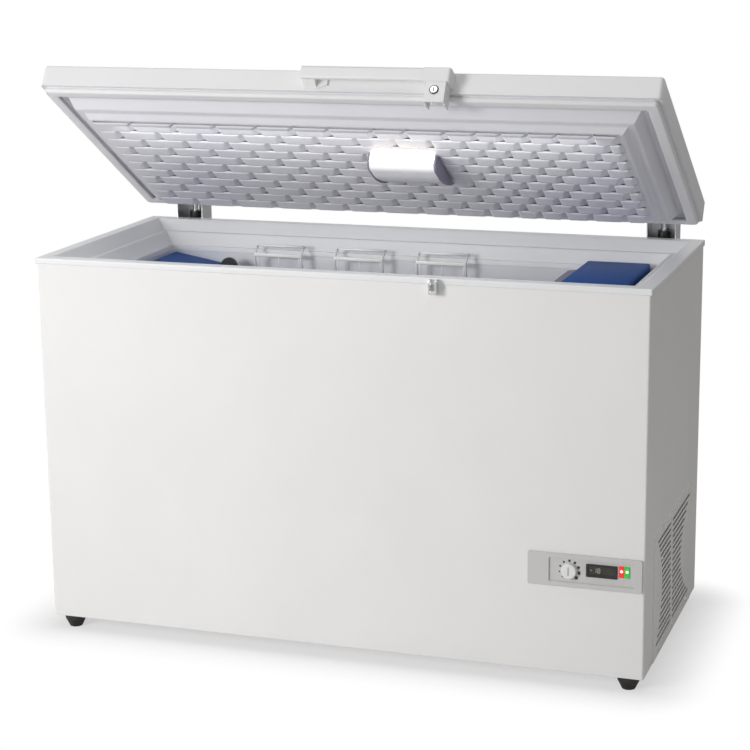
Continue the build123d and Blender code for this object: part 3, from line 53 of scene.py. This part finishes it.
def material(name, color, rough=0.45, metal=0.0, vary=0.03, grain=40.0, bump=0.05, bevel=0.0, **sockets):
    """A procedural surface: faint cloudy colour, uneven gloss, fine bump, softened edges."""
    m = bpy.data.materials.new(name)
    m.use_nodes = True
    t = m.node_tree
    b = t.nodes["Principled BSDF"]
    b.inputs["Metallic"].default_value = metal
    for key, value in sockets.items():
        b.inputs[key.replace("_", " ")].default_value = value
    place = t.nodes.new("ShaderNodeTexCoord")
    cloud = t.nodes.new("ShaderNodeTexNoise")
    cloud.inputs["Scale"].default_value = 6.0
    cloud.inputs["Detail"].default_value = 3.0
    t.links.new(place.outputs["Object"], cloud.inputs["Vector"])
    shade = t.nodes.new("ShaderNodeValToRGB")
    dark = [c * (1 - vary) for c in color]
    light = [min(1.0, c * (1 + vary)) for c in color]
    shade.color_ramp.elements[0].position = 0.3
    shade.color_ramp.elements[1].position = 0.7
    shade.color_ramp.elements[0].color = (*dark, 1)
    shade.color_ramp.elements[1].color = (*light, 1)
    t.links.new(cloud.outputs["Fac"], shade.inputs["Fac"])
    t.links.new(shade.outputs["Color"], b.inputs["Base Color"])
    fine = t.nodes.new("ShaderNodeTexNoise")
    fine.inputs["Scale"].default_value = grain * 10
    fine.inputs["Detail"].default_value = 2.0
    t.links.new(place.outputs["Object"], fine.inputs["Vector"])
    gloss = t.nodes.new("ShaderNodeMapRange")
    gloss.inputs["To Min"].default_value = max(0.02, rough - 0.06)
    gloss.inputs["To Max"].default_value = min(1.0, rough + 0.06)
    t.links.new(fine.outputs["Fac"], gloss.inputs["Value"])
    t.links.new(gloss.outputs["Result"], b.inputs["Roughness"])
    relief = t.nodes.new("ShaderNodeBump")
    relief.inputs["Strength"].default_value = bump
    relief.inputs["Distance"].default_value = 0.0006
    t.links.new(fine.outputs["Fac"], relief.inputs["Height"])
    if bevel:
        edge = t.nodes.new("ShaderNodeBevel")
        edge.inputs["Radius"].default_value = bevel
        t.links.new(edge.outputs["Normal"], relief.inputs["Normal"])
    t.links.new(relief.outputs["Normal"], b.inputs["Normal"])
    return m


def glow(name, color, strength):
    m = material(name, color, 0.5)
    b = m.node_tree.nodes["Principled BSDF"]
    b.inputs["Emission Color"].default_value = (*color, 1)
    b.inputs["Emission Strength"].default_value = strength
    return m


PAINT = material("white_paint", (0.86, 0.86, 0.86), 0.32, grain=30, bump=0.10, vary=0.012, bevel=0.0015)
LID_PAINT = material("lid_paint", (0.84, 0.84, 0.85), 0.32, grain=30, bump=0.10, vary=0.012, bevel=0.002)
PLASTIC = material("white_plastic", (0.84, 0.84, 0.85), 0.38, grain=60, bump=0.06, vary=0.015, bevel=0.0012)
COLLAR = material("collar_plastic", (0.85, 0.86, 0.88), 0.34, grain=60, bump=0.06, vary=0.015, bevel=0.003)
LINER = material("lid_liner_plastic", (0.73, 0.73, 0.78), 0.34, grain=60, bump=0.06, vary=0.02)
TANK = material("tank_liner", (0.74, 0.75, 0.79), 0.4, metal=0.15, grain=30, bump=0.15, vary=0.03)
ZINC = material("zinc", (0.62, 0.63, 0.64), 0.34, metal=0.9, vary=0.08, grain=20, bump=0.08, bevel=0.0008)
CHROME = material("chrome", (0.78, 0.79, 0.80), 0.18, metal=1.0, vary=0.03, bevel=0.0005)
BLACK = material("black_plastic", (0.018, 0.018, 0.02), 0.42, vary=0.15, bump=0.15, bevel=0.001)
BLACK_PAINT = material("black_paint", (0.02, 0.02, 0.022), 0.3, vary=0.15, bump=0.1)
RUBBER = material("gasket_rubber", (0.80, 0.80, 0.82), 0.55, grain=50, bump=0.1)
GASKET_PAINTED_SHADE = material("gasket_painted_shade", (0.52, 0.52, 0.55), 0.55, grain=50, bump=0.1)
BLUE = material("blue_plastic", (0.022, 0.095, 0.34), 0.55, vary=0.10, grain=40, bump=0.12,
                Specular_IOR_Level=0.12)
# Painted shade: the pale pack's shaded side is coloured dark grey-purple
GREY_PACK_SHADE = material("grey_plastic", (0.20, 0.18, 0.26), 0.45, vary=0.08, bump=0.1, bevel=0.002)
WIRE = material("white_wire", (0.90, 0.90, 0.90), 0.3, vary=0.01, bump=0.03)
FOAM = material("foam", (0.75, 0.66, 0.42), 0.85, vary=0.1, grain=80, bump=0.6)
LAMP = glow("lamp_window", (1.0, 0.90, 0.74), 1.6)
LAMP_SHADE = material("lamp_shade", (0.80, 0.79, 0.83), 0.5, grain=50)
LAMP_CAP = material("lamp_cap", (0.20, 0.18, 0.25), 0.35, vary=0.08, bevel=0.0015)
RED = glow("red_lens", (0.75, 0.03, 0.02), 0.5)
GREEN = glow("green_lens", (0.03, 0.45, 0.05), 0.4)
SPOT = glow("lit_spot", (1.0, 0.93, 0.85), 1.2)
DISPLAY = material("display_glass", (0.05, 0.042, 0.035), 0.12, vary=0.05, bump=0.0)
DIGITS = glow("display_digits", (0.45, 0.52, 0.46), 0.15)
DIAL_INK = material("dial_ink", (0.02, 0.02, 0.02), 0.5)
PANEL = material("panel_plastic", (0.62, 0.62, 0.62), 0.4, grain=60, bump=0.08, vary=0.02, bevel=0.001)
SIDE = material("grille_plastic", (0.84, 0.83, 0.81), 0.42, grain=60, bump=0.06, vary=0.02, bevel=0.0008)

CAD_LOOKS = {
    PAINT: ["outer_wrap", "back_panel"],
    LID_PAINT: ["lid_shell"],
    COLLAR: ["rim_collar"],
    SIDE: ["vent_grille"],
    PANEL: ["panel_bezel"],
    LINER: ["lid_liner"],
    TANK: ["inner_liner"],
    ZINC: ["base_pan", "hinge_channel_left", "hinge_channel_right", "hinge_leaf_left", "hinge_leaf_right",
           "compressor_plate"],
    CHROME: ["keeper", "hinge_pins", "hinge_plungers", "lock_cylinder", "lock_finger", "grille_screws"],
    BLACK: ["feet", "relay_cover", "thermostat_body", "display_frame", "power_gland", "thermometer",
            "compressor_grommets"],
    BLACK_PAINT: ["compressor", "spring_cartridges"],
    RUBBER: ["lid_gasket"],
    BLUE: ["ice_packs_left", "ice_packs_right"],
    GREY_PACK_SHADE: ["grey_pack"],
    FOAM: ["insulation_foam", "lid_foam"],
    LAMP: ["lamp_tube"],
    LAMP_SHADE: ["lamp_diffuser"],
    LAMP_CAP: ["lamp_cap_left", "lamp_cap_right"],
    RED: ["red_lamp"],
    GREEN: ["green_lamp"],
    DISPLAY: ["display_window"],
    PLASTIC: ["thermostat_knob", "handle_bracket_left", "handle_bracket_right", "lock_housing", "handle_bar",
              "lamp_base", "drain_plug"],
}
for look, names in CAD_LOOKS.items():
    for name in names:
        NODES[name].data.materials.clear()
        NODES[name].data.materials.append(look)
for name, node in NODES.items():
    if "basket" in name:
        node.data.materials.clear()
        node.data.materials.append(WIRE)


# Mesh helpers


def piece(name, verts, faces, look, body, smooth=True, raised=False, replaces=()):
    """A mesh object that rides on a body, optionally turned open with the lid."""
    data = bpy.data.meshes.new(name)
    data.from_pydata([tuple(v) for v in verts], [], faces)
    looks = look if isinstance(look, (list, tuple)) else [look]
    for m in looks:
        data.materials.append(m)
    work = bmesh.new()
    work.from_mesh(data)
    bmesh.ops.recalc_face_normals(work, faces=work.faces)
    work.to_mesh(data)
    work.free()
    if raised:
        data.transform(RAISED)
    for p in data.polygons:
        p.use_smooth = smooth
    obj = bpy.data.objects.new(name, data)
    bpy.context.scene.collection.objects.link(obj)
    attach(obj, body)
    if replaces:
        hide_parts(*replaces)
    return obj


def ring_loops(x0, x1, y0, y1, profile, corner, seg=5):
    """Closed loops round a rectangle: one per (inset, z) of the profile, with round corners."""
    verts, faces = [], []
    for k, (inset, z) in enumerate(profile):
        r = max(0.001, corner - inset * 0.2)
        for cx, cy, a0 in ((x1, y1, 0), (x0, y1, 90), (x0, y0, 180), (x1, y0, 270)):
            sx, sy = (-1 if cx == x1 else 1), (-1 if cy == y1 else 1)
            ox, oy = cx + sx * (inset + r), cy + sy * (inset + r)
            for i in range(seg + 1):
                a = math.radians(a0 + 90 * i / seg)
                verts.append((ox + r * math.cos(a), oy + r * math.sin(a), z))
    n = 4 * (seg + 1)
    for k in range(len(profile) - 1):
        for i in range(n):
            j = (i + 1) % n
            faces.append((k * n + i, k * n + j, (k + 1) * n + j, (k + 1) * n + i))
    return verts, faces


def rounded_path(points, radius, closed=False, seg=5):
    """A polyline whose corners are turned into arcs."""
    pts = [Vector(p) for p in points]
    out = []
    count = len(pts)
    for i, p in enumerate(pts):
        if not closed and i in (0, count - 1):
            out.append(p)
            continue
        a, b = pts[i - 1] - p, pts[(i + 1) % count] - p
        reach = min(radius, a.length * 0.45, b.length * 0.45)
        start, end = p + a.normalized() * reach, p + b.normalized() * reach
        for k in range(seg + 1):
            t = k / seg
            out.append(start * (1 - t) ** 2 + p * 2 * t * (1 - t) + end * t**2)
    return out


def tube(points, radius, closed=False, sides=8):
    """A round wire along a path."""
    verts, faces = [], []
    n = len(points)
    normal = None
    for i, p in enumerate(points):
        before = points[i - 1] if (i or closed) else p
        after = points[(i + 1) % n] if (i < n - 1 or closed) else p
        along = (after - before).normalized()
        if normal is None:
            normal = along.orthogonal().normalized()
        normal = (normal - along * normal.dot(along)).normalized()
        side = along.cross(normal)
        for k in range(sides):
            a = 2 * math.pi * k / sides
            verts.append(p + (normal * math.cos(a) + side * math.sin(a)) * radius)
    spans = n if closed else n - 1
    for i in range(spans):
        j = (i + 1) % n
        for k in range(sides):
            m = (k + 1) % sides
            faces.append((i * sides + k, i * sides + m, j * sides + m, j * sides + k))
    if not closed:
        faces.append(tuple(range(sides))[::-1])
        faces.append(tuple((n - 1) * sides + k for k in range(sides)))
    return verts, faces


def merge(parts):
    verts, faces = [], []
    for v, f in parts:
        base = len(verts)
        verts += list(v)
        faces += [tuple(i + base for i in face) for face in f]
    return verts, faces


def eased_box(lo, hi, r, seg=3):
    """A box with rounded edges."""
    work = bmesh.new()
    bmesh.ops.create_cube(work, size=1.0)
    lo, hi = Vector(lo), Vector(hi)
    for v in work.verts:
        v.co = Vector((lo[i] if v.co[i] < 0 else hi[i]) for i in range(3))
    bmesh.ops.bevel(work, geom=list(work.edges), offset=r, segments=seg, profile=0.5, affect="EDGES")
    verts = [v.co.copy() for v in work.verts]
    faces = [tuple(v.index for v in f.verts) for f in work.faces]
    work.free()
    return verts, faces


# Lid liner: stepped plug and pillowed bricks. Profiles are (inset, depth below the lid's rim).


def brick(x0, x1, y0, y1, top):
    """One pillow of the pattern: its right end is a ramp that widens to the back, its left end is steep."""
    crown, valley, round_off = 0.0066, 0.0040, 0.003
    rise = min(0.0055, 0.2 * (x1 - x0))
    ramp = min(0.017, 0.4 * (x1 - x0))
    xs = [x0 + rise * t for t in (0, 0.3, 0.65, 1)]
    xs += [x1 - ramp * t for t in (1, 0.85, 0.7, 0.55, 0.4, 0.25, 0.12, 0)]
    ys = [y0 + (y1 - y0) * t for t in (0, 0.04, 0.12, 0.3, 0.5, 0.7, 0.88, 0.96, 1)]
    verts, faces = [], []
    for y in ys:
        v = (y - y0) / (y1 - y0)
        edge = min(1.0, min(y - y0, y1 - y) / round_off)
        ridge = valley + (crown - valley) * math.sqrt(1 - (1 - edge) ** 2)
        width = ramp * (0.3 + 0.7 * v**0.6)
        for x in xs:
            left = min(1.0, (x - x0) / rise)
            slope = min(1.0, (x1 - x) / width)
            verts.append((x, y, top - ridge * slope * math.sqrt(1 - (1 - left) ** 2)))
    n = len(xs)
    for j in range(len(ys) - 1):
        for i in range(n - 1):
            faces.append((j * n + i, j * n + i + 1, (j + 1) * n + i + 1, (j + 1) * n + i))
    return verts, faces


PLUG = [(0.0012, 0.0), (0.039, 0.0), (0.0415, 0.0008), (0.0432, 0.003), (0.0555, 0.0225), (0.0572, 0.0244),
        (0.0595, 0.025), (0.0695, 0.025), (0.0718, 0.0256), (0.0735, 0.0274), (0.0794, 0.0350),
        (0.0815, 0.0365), (0.0845, 0.037)]
half = LID_W / 2
rings = ring_loops(-half, half, LID_FRONT, LID_BACK, [(u, LID_Z - d) for u, d in PLUG], 0.008)
n_ring = 24
base_face = [tuple(range((len(PLUG) - 1) * n_ring, len(PLUG) * n_ring))]
parts = [(rings[0], rings[1] + base_face)]
ROWS, LAMP_ROWS = 11, (3, 4, 5)
FIELD_INSET, SHORTEST = 0.081, 0.008
LENGTHS = (85, 93, 92, 88, 76, 76, 91, 67, 80, 60, 51, 52, 56, 70, 49)
deep = LID_D - 2 * FIELD_INSET
depth = deep / ROWS
reach = sum(LENGTHS) / 2000
first = [sum(LENGTHS[:n]) / 1000 - reach for n in range(len(LENGTHS) + 1)]
second = [-reach] + [(a + b) / 2 for a, b in zip(first, first[1:])] + [reach]
LAMP_SPAN = (0.022, 0.164)
for row in range(ROWS):
    y0 = LID_Y - deep / 2 + row * depth
    joints = second if row % 2 else first
    for a, b in zip(joints, joints[1:]):
        spans = [(a, b)]
        if row in LAMP_ROWS:
            spans = [(a, min(b, LAMP_SPAN[0])), (max(a, LAMP_SPAN[1]), b)]
        for s0, s1 in spans:
            if s1 - s0 > SHORTEST:
                parts.append(brick(s0, s1, y0, y0 + depth, FIELD_Z))
verts, faces = merge(parts)
piece("lid_liner_skin", verts, faces, LINER, "lid", raised=True, replaces=["lid_liner"])

# Lamp: a lit window in front, a moulded shade behind it
LX0, LX1, LY0, LDEEP, LBASE = 0.026, 0.160, -0.132, 0.142, 0.766
CROWN = LBASE - 0.033
profile = [(LY0, LBASE, 0), (LY0, LBASE - 0.0205, 0)]
profile += [(LY0 + 0.0012, LBASE - 0.0225, 1), (LY0 + 0.0045, LBASE - 0.0275, 1),
            (LY0 + 0.009, CROWN + 0.0018, 1)]
for k in range(15):
    v = k / 14
    fall = max(0.0, (v - 0.22) / 0.78) ** 1.55
    profile.append((LY0 + 0.014 + (LDEEP - 0.014) * v, CROWN + (LBASE - CROWN) * fall, 1))
verts, faces, kinds = [], [], []
for i, (y, z, kind) in enumerate(profile):
    verts += [(LX0, y, z), (LX1, y, z)]
    if i:
        faces.append((2 * i - 2, 2 * i - 1, 2 * i + 1, 2 * i))
        kinds.append(kind)
cover = piece("lamp_cover", verts, faces, [LAMP, LAMP_SHADE], "lid", raised=True,
              replaces=["lamp_diffuser"])
for p, kind in zip(cover.data.polygons, kinds):
    p.material_index = kind

# Gasket: a soft hollow strip; its inner wall is coloured mid grey as painted shade
LOW = 0.0117
SEAL = [(0.0075, 0.0), (0.0075, 0.0025), (0.0062, 0.0040), (0.0062, 0.0070), (0.0078, 0.0085),
        (0.0078, 0.0100), (0.0090, 0.0114), (0.0105, LOW), (0.0262, LOW), (0.0285, 0.0113),
        (0.0300, 0.0098), (0.0300, 0.0070), (0.0275, 0.0055), (0.0275, 0.0030), (0.0305, 0.0015),
        (0.0308, 0.0)]
verts, faces = ring_loops(-half, half, LID_FRONT, LID_BACK, [(u, LID_Z - d) for u, d in SEAL], 0.010)
gasket = piece("gasket_strip", verts, faces, [RUBBER, GASKET_PAINTED_SHADE], "lid", raised=True,
               replaces=["lid_gasket"])
# Bands 9 to 12 are the strip's inner wall: painted shade, mid grey
for p in gasket.data.polygons:
    if p.index // n_ring in (9, 10, 11, 12):
        p.material_index = 1

# Lock: dark ring round the key cylinder; the keyhole is a black block on its face, painted shade for the slot
KEY_X, KEY_Z, KEY_FACE = 0.2075, 0.801, -0.345
RING_IN, RING_OUT, RING_BACK, RING_FACE = 0.0072, 0.0090, -0.3424, -0.3440
KEYHOLE_W, KEYHOLE_H = 0.0009, 0.0042
ring_verts, ring_faces = [], []
for k in range(24):
    a = 2 * math.pi * k / 24
    for r, y in ((RING_IN, RING_BACK), (RING_IN, RING_FACE), (RING_OUT, RING_FACE), (RING_OUT, RING_BACK)):
        ring_verts.append((KEY_X + r * math.cos(a), y, KEY_Z + r * math.sin(a)))
    for i in range(4):
        n, j = (k + 1) % 24, (i + 1) % 4
        ring_faces.append((4 * k + i, 4 * k + j, 4 * n + j, 4 * n + i))
piece("lock_ring", ring_verts, ring_faces, BLACK, "lid", raised=True)
# Painted shade: a thin black block stands for the keyhole's dark slot
low = (KEY_X - KEYHOLE_W, KEY_FACE - 0.0002, KEY_Z - KEYHOLE_H)
high = (KEY_X + KEYHOLE_W, KEY_FACE + 0.0004, KEY_Z + KEYHOLE_H)
verts, faces = eased_box(low, high, 0.0001, 1)
piece("keyhole", verts, faces, BLACK, "key", raised=True)


# Wire baskets and their handles
BASKETS = (-0.279, -0.093, 0.093)
CY, BW, BD, TOP, BOTTOM = -0.018, 0.180, 0.376, 0.692, 0.1203
RIM_R, WIRE_R, LUG_R, GRIP_R = 0.003, 0.0013, 0.0016, 0.0026
RINGS, RING_STEP, CROSS_WIRES, LONG_WIRES, WIRE_MARGIN = 6, 0.095, 14, 7, 0.024
PIN_Y, PIN_Z, LUG_X, GRIP_HALF = 0.168, 0.698, 0.058, 0.056
for number, bx in enumerate(BASKETS, start=1):
    wires = []
    hw, hd, rim_z = BW / 2 - RIM_R, BD / 2 - RIM_R, TOP - RIM_R

    def loop(z, r):
        corners = [(bx - hw, CY - hd, z), (bx + hw, CY - hd, z), (bx + hw, CY + hd, z), (bx - hw, CY + hd, z)]
        return tube(rounded_path(corners, 0.012, closed=True, seg=4), r, closed=True)

    wires.append(loop(rim_z, RIM_R))
    for k in range(RINGS):
        wires.append(loop(BOTTOM + 0.0018 + k * RING_STEP, WIRE_R))
    for k in range(CROSS_WIRES):
        y = CY + (BD - WIRE_MARGIN) * (k / (CROSS_WIRES - 1) - 0.5)
        z = BOTTOM + WIRE_R
        bow = [(bx - hw, y, rim_z), (bx - hw, y, z), (bx + hw, y, z), (bx + hw, y, rim_z)]
        wires.append(tube(rounded_path(bow, 0.010, seg=3), WIRE_R, sides=6))
    for k in range(LONG_WIRES):
        x = bx + (BW - WIRE_MARGIN) * (k / (LONG_WIRES - 1) - 0.5)
        z = BOTTOM + 3 * WIRE_R
        bow = [(x, CY - hd, rim_z), (x, CY - hd, z), (x, CY + hd, z), (x, CY + hd, rim_z)]
        wires.append(tube(rounded_path(bow, 0.010, seg=3), WIRE_R, sides=6))
    for s in (-1, 1):
        py = CY + s * PIN_Y
        for e in (-1, 1):
            ex = bx + e * LUG_X
            lug = [(ex, CY + s * hd, rim_z), (ex, py, rim_z), (ex, py, PIN_Z)]
            wires.append(tube(rounded_path(lug, 0.004, seg=2), LUG_R, sides=6))
    verts, faces = merge(wires)
    piece(f"basket_{number}_wires", verts, faces, WIRE, "cabinet",
          replaces=[f"basket_{number}"])
    for place, s in (("front", -1), ("rear", 1)):
        body = f"basket_{number}_handle_{place}"
        py, pz, gw = CY + s * PIN_Y, PIN_Z, GRIP_HALF
        rear, front = (py + s * 0.0135, pz + 0.060), (py - s * 0.009, pz + 0.043)
        bars = []
        for e in (-1, 1):
            x = bx + e * (gw - 0.002)
            bars.append(tube([Vector((x - e * 0.001, py, pz)), Vector((x + e * 0.0035, py, pz))], 0.0024))
            bars.append(tube(rounded_path([(x, py, pz), (x, *front), (x, *rear)], 0.004, seg=3), GRIP_R))
        ends = [Vector((bx - gw - 0.001, *rear)), Vector((bx + gw + 0.001, *rear))]
        bars.append(tube(ends, GRIP_R, sides=12))
        low = (bx - gw, front[0] - 0.0022, front[1] - 0.004)
        high = (bx + gw, front[0] + 0.0022, front[1] + 0.004)
        bars.append(eased_box(low, high, 0.0018, 2))
        bars.append(tube([Vector((bx - gw, py, pz)), Vector((bx + gw, py, pz))], LUG_R))
        for x in (-0.047, 0.002, 0.049):
            bars.append(tube([Vector((bx + x, py, pz)), Vector((bx + x, *front))], 0.0012, sides=6))
        verts, faces = merge(bars)
        piece(f"basket_{number}_grip_{place}", verts, faces, WIRE, body, replaces=[body])


# Ice packs: flat moulded bottles with rounded edges


def pack_body(w, d, h, r=0.006):
    """A pack about its own underside's middle."""
    return eased_box((-w / 2, -d / 2, 0), (w / 2, d / 2, h), r, 3)


def place_all(shape, where):
    return [where @ Vector(v) for v in shape[0]], shape[1]


BIG_PACK, BIG_STEP, BIG_COUNT = (0.132, 0.239, 0.0505), 0.0508, 8
BIG_X, BIG_Y, STEP_FLOOR = 0.4695, 0.0557, 0.3503
stack = []
for k in range(BIG_COUNT):
    z = STEP_FLOOR + k * BIG_STEP
    stack.append(place_all(pack_body(*BIG_PACK, r=0.003), Matrix.Translation((BIG_X, BIG_Y, z))))
verts, faces = merge(stack)
piece("pack_stack_right", verts, faces, BLUE, "cabinet", replaces=["ice_packs_right"])
SMALL_PACK, SMALL_STEP, SMALL_COUNT = (0.119, 0.189, 0.0327), 0.033, 17
SMALL_X, SMALL_Y, TANK_FLOOR = -0.4837, 0.0807, 0.1203
PACK_HALF, TILT = 0.06, math.radians(10.0)
stack = []
for k in range(SMALL_COUNT):
    z = TANK_FLOOR + k * SMALL_STEP
    stack.append(place_all(pack_body(*SMALL_PACK), Matrix.Translation((SMALL_X, SMALL_Y, z))))
top = TANK_FLOOR + SMALL_COUNT * SMALL_STEP
middle = SMALL_X - PACK_HALF + PACK_HALF * math.cos(TILT)
where = Matrix.Translation((middle, SMALL_Y, top + PACK_HALF * math.sin(TILT)))
stack.append(place_all(pack_body(*SMALL_PACK), where @ Matrix.Rotation(TILT, 4, "Y")))
verts, faces = merge(stack)
piece("pack_stack_left", verts, faces, BLUE, "cabinet", replaces=["ice_packs_left"])


# Control panel details


PANEL_FLOOR, MARK_THICK = -0.300, 0.0003
DIAL_X, DIAL_Z, DIAL_R, MARKS = 0.483, 0.239, 0.0195, 9
for k in range(MARKS):
    a = math.radians(225 - 270 * k / (MARKS - 1))
    size = 0.0012 + 0.0009 * k / (MARKS - 1) * 2
    cx, cz = DIAL_X + DIAL_R * math.cos(a), DIAL_Z + DIAL_R * math.sin(a)
    low, high = (cx - size, PANEL_FLOOR - MARK_THICK, cz - size), (cx + size, PANEL_FLOOR, cz + size)
    verts, faces = eased_box(low, high, 0.0001, 1)
    piece(f"dial_mark_{k}", verts, faces, DIAL_INK, "cabinet")

# Each segment of a number: its place in half-heights, and whether it lies flat
SEGMENTS = {"a": (0, 2, 1), "b": (1, 1, 0), "c": (1, 0, 0), "d": (0, 0, 1), "e": (0, 0, 0), "f": (0, 1, 0),
            "g": (0, 1, 1)}
SHOWN = {"1": "bc", "8": "abcdefg", "-": "g"}
DIGIT_X, DIGIT_Z, DIGIT_STEP, DIGIT_SIZE = 0.5235, 0.2395, 0.0075, 0.0045
DIGIT_FACE, DIGIT_BACK = -0.3013, -0.3010
bits = []
for n_digit, char in enumerate("-18"):
    for key in SHOWN[char]:
        cx, cz, flat = SEGMENTS[key]
        x = DIGIT_X + n_digit * DIGIT_STEP + cx * DIGIT_SIZE
        z = DIGIT_Z + cz * DIGIT_SIZE
        if flat:
            low, high = (x + 0.0006, DIGIT_FACE, z - 0.0005), (x + 0.0039, DIGIT_BACK, z + 0.0005)
        else:
            low, high = (x - 0.0005, DIGIT_FACE, z + 0.0006), (x + 0.0005, DIGIT_BACK, z + 0.0039)
        bits.append(eased_box(low, high, 0.0001, 1))
verts, faces = merge(bits)
piece("display_numbers", verts, faces, DIGITS, "cabinet")
for name, x in (("red_spot", 0.5852), ("green_spot", 0.5958)):
    work = bmesh.new()
    bmesh.ops.create_uvsphere(work, u_segments=16, v_segments=8, radius=0.0028)
    verts = [Vector((v.co.x + x, v.co.y * 0.3 - 0.3018, v.co.z + 0.247)) for v in work.verts]
    faces = [tuple(v.index for v in f.verts) for f in work.faces]
    work.free()
    piece(name, verts, faces, SPOT, "cabinet")


# Stage, light and camera
ground = bpy.data.meshes.new("floor")
ground.from_pydata([(-15, -15, 0), (15, -15, 0), (15, 15, 0), (-15, 15, 0)], [], [(0, 1, 2, 3)])
floor = bpy.data.objects.new("floor", ground)
bpy.context.scene.collection.objects.link(floor)
m = bpy.data.materials.new("floor")
m.use_nodes = True
t = m.node_tree
t.nodes.clear()
out = t.nodes.new("ShaderNodeOutputMaterial")
plain = t.nodes.new("ShaderNodeBsdfDiffuse")
plain.inputs["Color"].default_value = (0.92, 0.92, 0.92, 1)
white = t.nodes.new("ShaderNodeEmission")
white.inputs["Strength"].default_value = 1.0
where = t.nodes.new("ShaderNodeTexCoord")
away = t.nodes.new("ShaderNodeVectorMath")
away.operation = "ABSOLUTE"
past = t.nodes.new("ShaderNodeVectorMath")
past.operation = "SUBTRACT"
past.inputs[1].default_value = (0.60, 0.25, 0.0)
clear = t.nodes.new("ShaderNodeVectorMath")
clear.operation = "MAXIMUM"
clear.inputs[1].default_value = (0.0, 0.0, 0.0)
far = t.nodes.new("ShaderNodeVectorMath")
far.operation = "LENGTH"
fade = t.nodes.new("ShaderNodeMapRange")
fade.interpolation_type = "SMOOTHSTEP"
fade.inputs["From Min"].default_value = 0.03
fade.inputs["From Max"].default_value = 0.17
fade.inputs["To Min"].default_value = 0.55
t.links.new(where.outputs["Object"], away.inputs[0])
t.links.new(away.outputs["Vector"], past.inputs[0])
t.links.new(past.outputs["Vector"], clear.inputs[0])
t.links.new(clear.outputs["Vector"], far.inputs[0])
t.links.new(far.outputs["Value"], fade.inputs["Value"])
seen = t.nodes.new("ShaderNodeLightPath")
both = t.nodes.new("ShaderNodeMath")
both.operation = "MULTIPLY"
t.links.new(fade.outputs["Result"], both.inputs[0])
t.links.new(seen.outputs["Is Camera Ray"], both.inputs[1])
mix = t.nodes.new("ShaderNodeMixShader")
t.links.new(both.outputs["Value"], mix.inputs["Fac"])
t.links.new(plain.outputs["BSDF"], mix.inputs[1])
t.links.new(white.outputs["Emission"], mix.inputs[2])
t.links.new(mix.outputs["Shader"], out.inputs["Surface"])
floor.data.materials.append(m)

world = bpy.data.worlds.new("studio")
bpy.context.scene.world = world
world.use_nodes = True
t = world.node_tree
t.nodes.clear()
out = t.nodes.new("ShaderNodeOutputWorld")
soft = t.nodes.new("ShaderNodeBackground")
soft.inputs["Color"].default_value = (1.0, 0.985, 0.97, 1)
soft.inputs["Strength"].default_value = 0.24
bright = t.nodes.new("ShaderNodeBackground")
bright.inputs["Color"].default_value = (1, 1, 1, 1)
bright.inputs["Strength"].default_value = 1.0
rays = t.nodes.new("ShaderNodeLightPath")
a = t.nodes.new("ShaderNodeMath")
a.operation = "MAXIMUM"
b = t.nodes.new("ShaderNodeMath")
b.operation = "MAXIMUM"
t.links.new(rays.outputs["Is Camera Ray"], a.inputs[0])
t.links.new(rays.outputs["Is Glossy Ray"], a.inputs[1])
t.links.new(a.outputs["Value"], b.inputs[0])
t.links.new(rays.outputs["Is Transmission Ray"], b.inputs[1])
mix = t.nodes.new("ShaderNodeMixShader")
t.links.new(b.outputs["Value"], mix.inputs["Fac"])
t.links.new(soft.outputs["Background"], mix.inputs[1])
t.links.new(bright.outputs["Background"], mix.inputs[2])
t.links.new(mix.outputs["Shader"], out.inputs["Surface"])


def area_light(name, at, aim, size, power, color=(1, 1, 1)):
    data = bpy.data.lights.new(name, "AREA")
    data.shape = "RECTANGLE"
    data.size, data.size_y = size
    data.energy = power
    data.color = color
    obj = bpy.data.objects.new(name, data)
    bpy.context.scene.collection.objects.link(obj)
    obj.location = at
    obj.rotation_euler = (Vector(aim) - Vector(at)).to_track_quat("-Z", "Y").to_euler()


area_light("key", (-2.1, -3.5, 1.6), (0, 0, 0.6), (1.3, 1.2), 89, (1.0, 0.99, 0.975))
area_light("top", (0.2, -0.6, 4.0), (0, 0, 0.6), (3.0, 2.4), 22)
area_light("fill", (4.3, -0.8, 1.1), (0, 0, 0.8), (2.0, 2.0), 4, (1.0, 0.97, 0.94))
area_light("inside", (0.0, -0.22, 1.02), (0, 0.12, 0.72), (1.0, 0.2), 0.7)

az, el, roll = math.radians(18.86), math.radians(13.43), math.radians(-0.65)
ahead = Vector((-math.sin(az) * math.cos(el), math.cos(az) * math.cos(el), -math.sin(el)))
right = ahead.cross(Vector((0, 0, 1))).normalized()
up = right.cross(ahead)
right, up = right * math.cos(roll) + up * math.sin(roll), up * math.cos(roll) - right * math.sin(roll)
data = bpy.data.cameras.new("camera")
data.sensor_width = 36.0
data.sensor_fit = "HORIZONTAL"
data.lens = 97.25
data.clip_end = 60
camera = bpy.data.objects.new("camera", data)
bpy.context.scene.collection.objects.link(camera)
turn = Matrix((right, up, -ahead)).transposed().to_4x4()
camera.matrix_world = Matrix.Translation((1.329, -3.918, 1.512)) @ turn
bpy.context.scene.camera = camera

bpy.context.scene.view_settings.view_transform = "Standard"
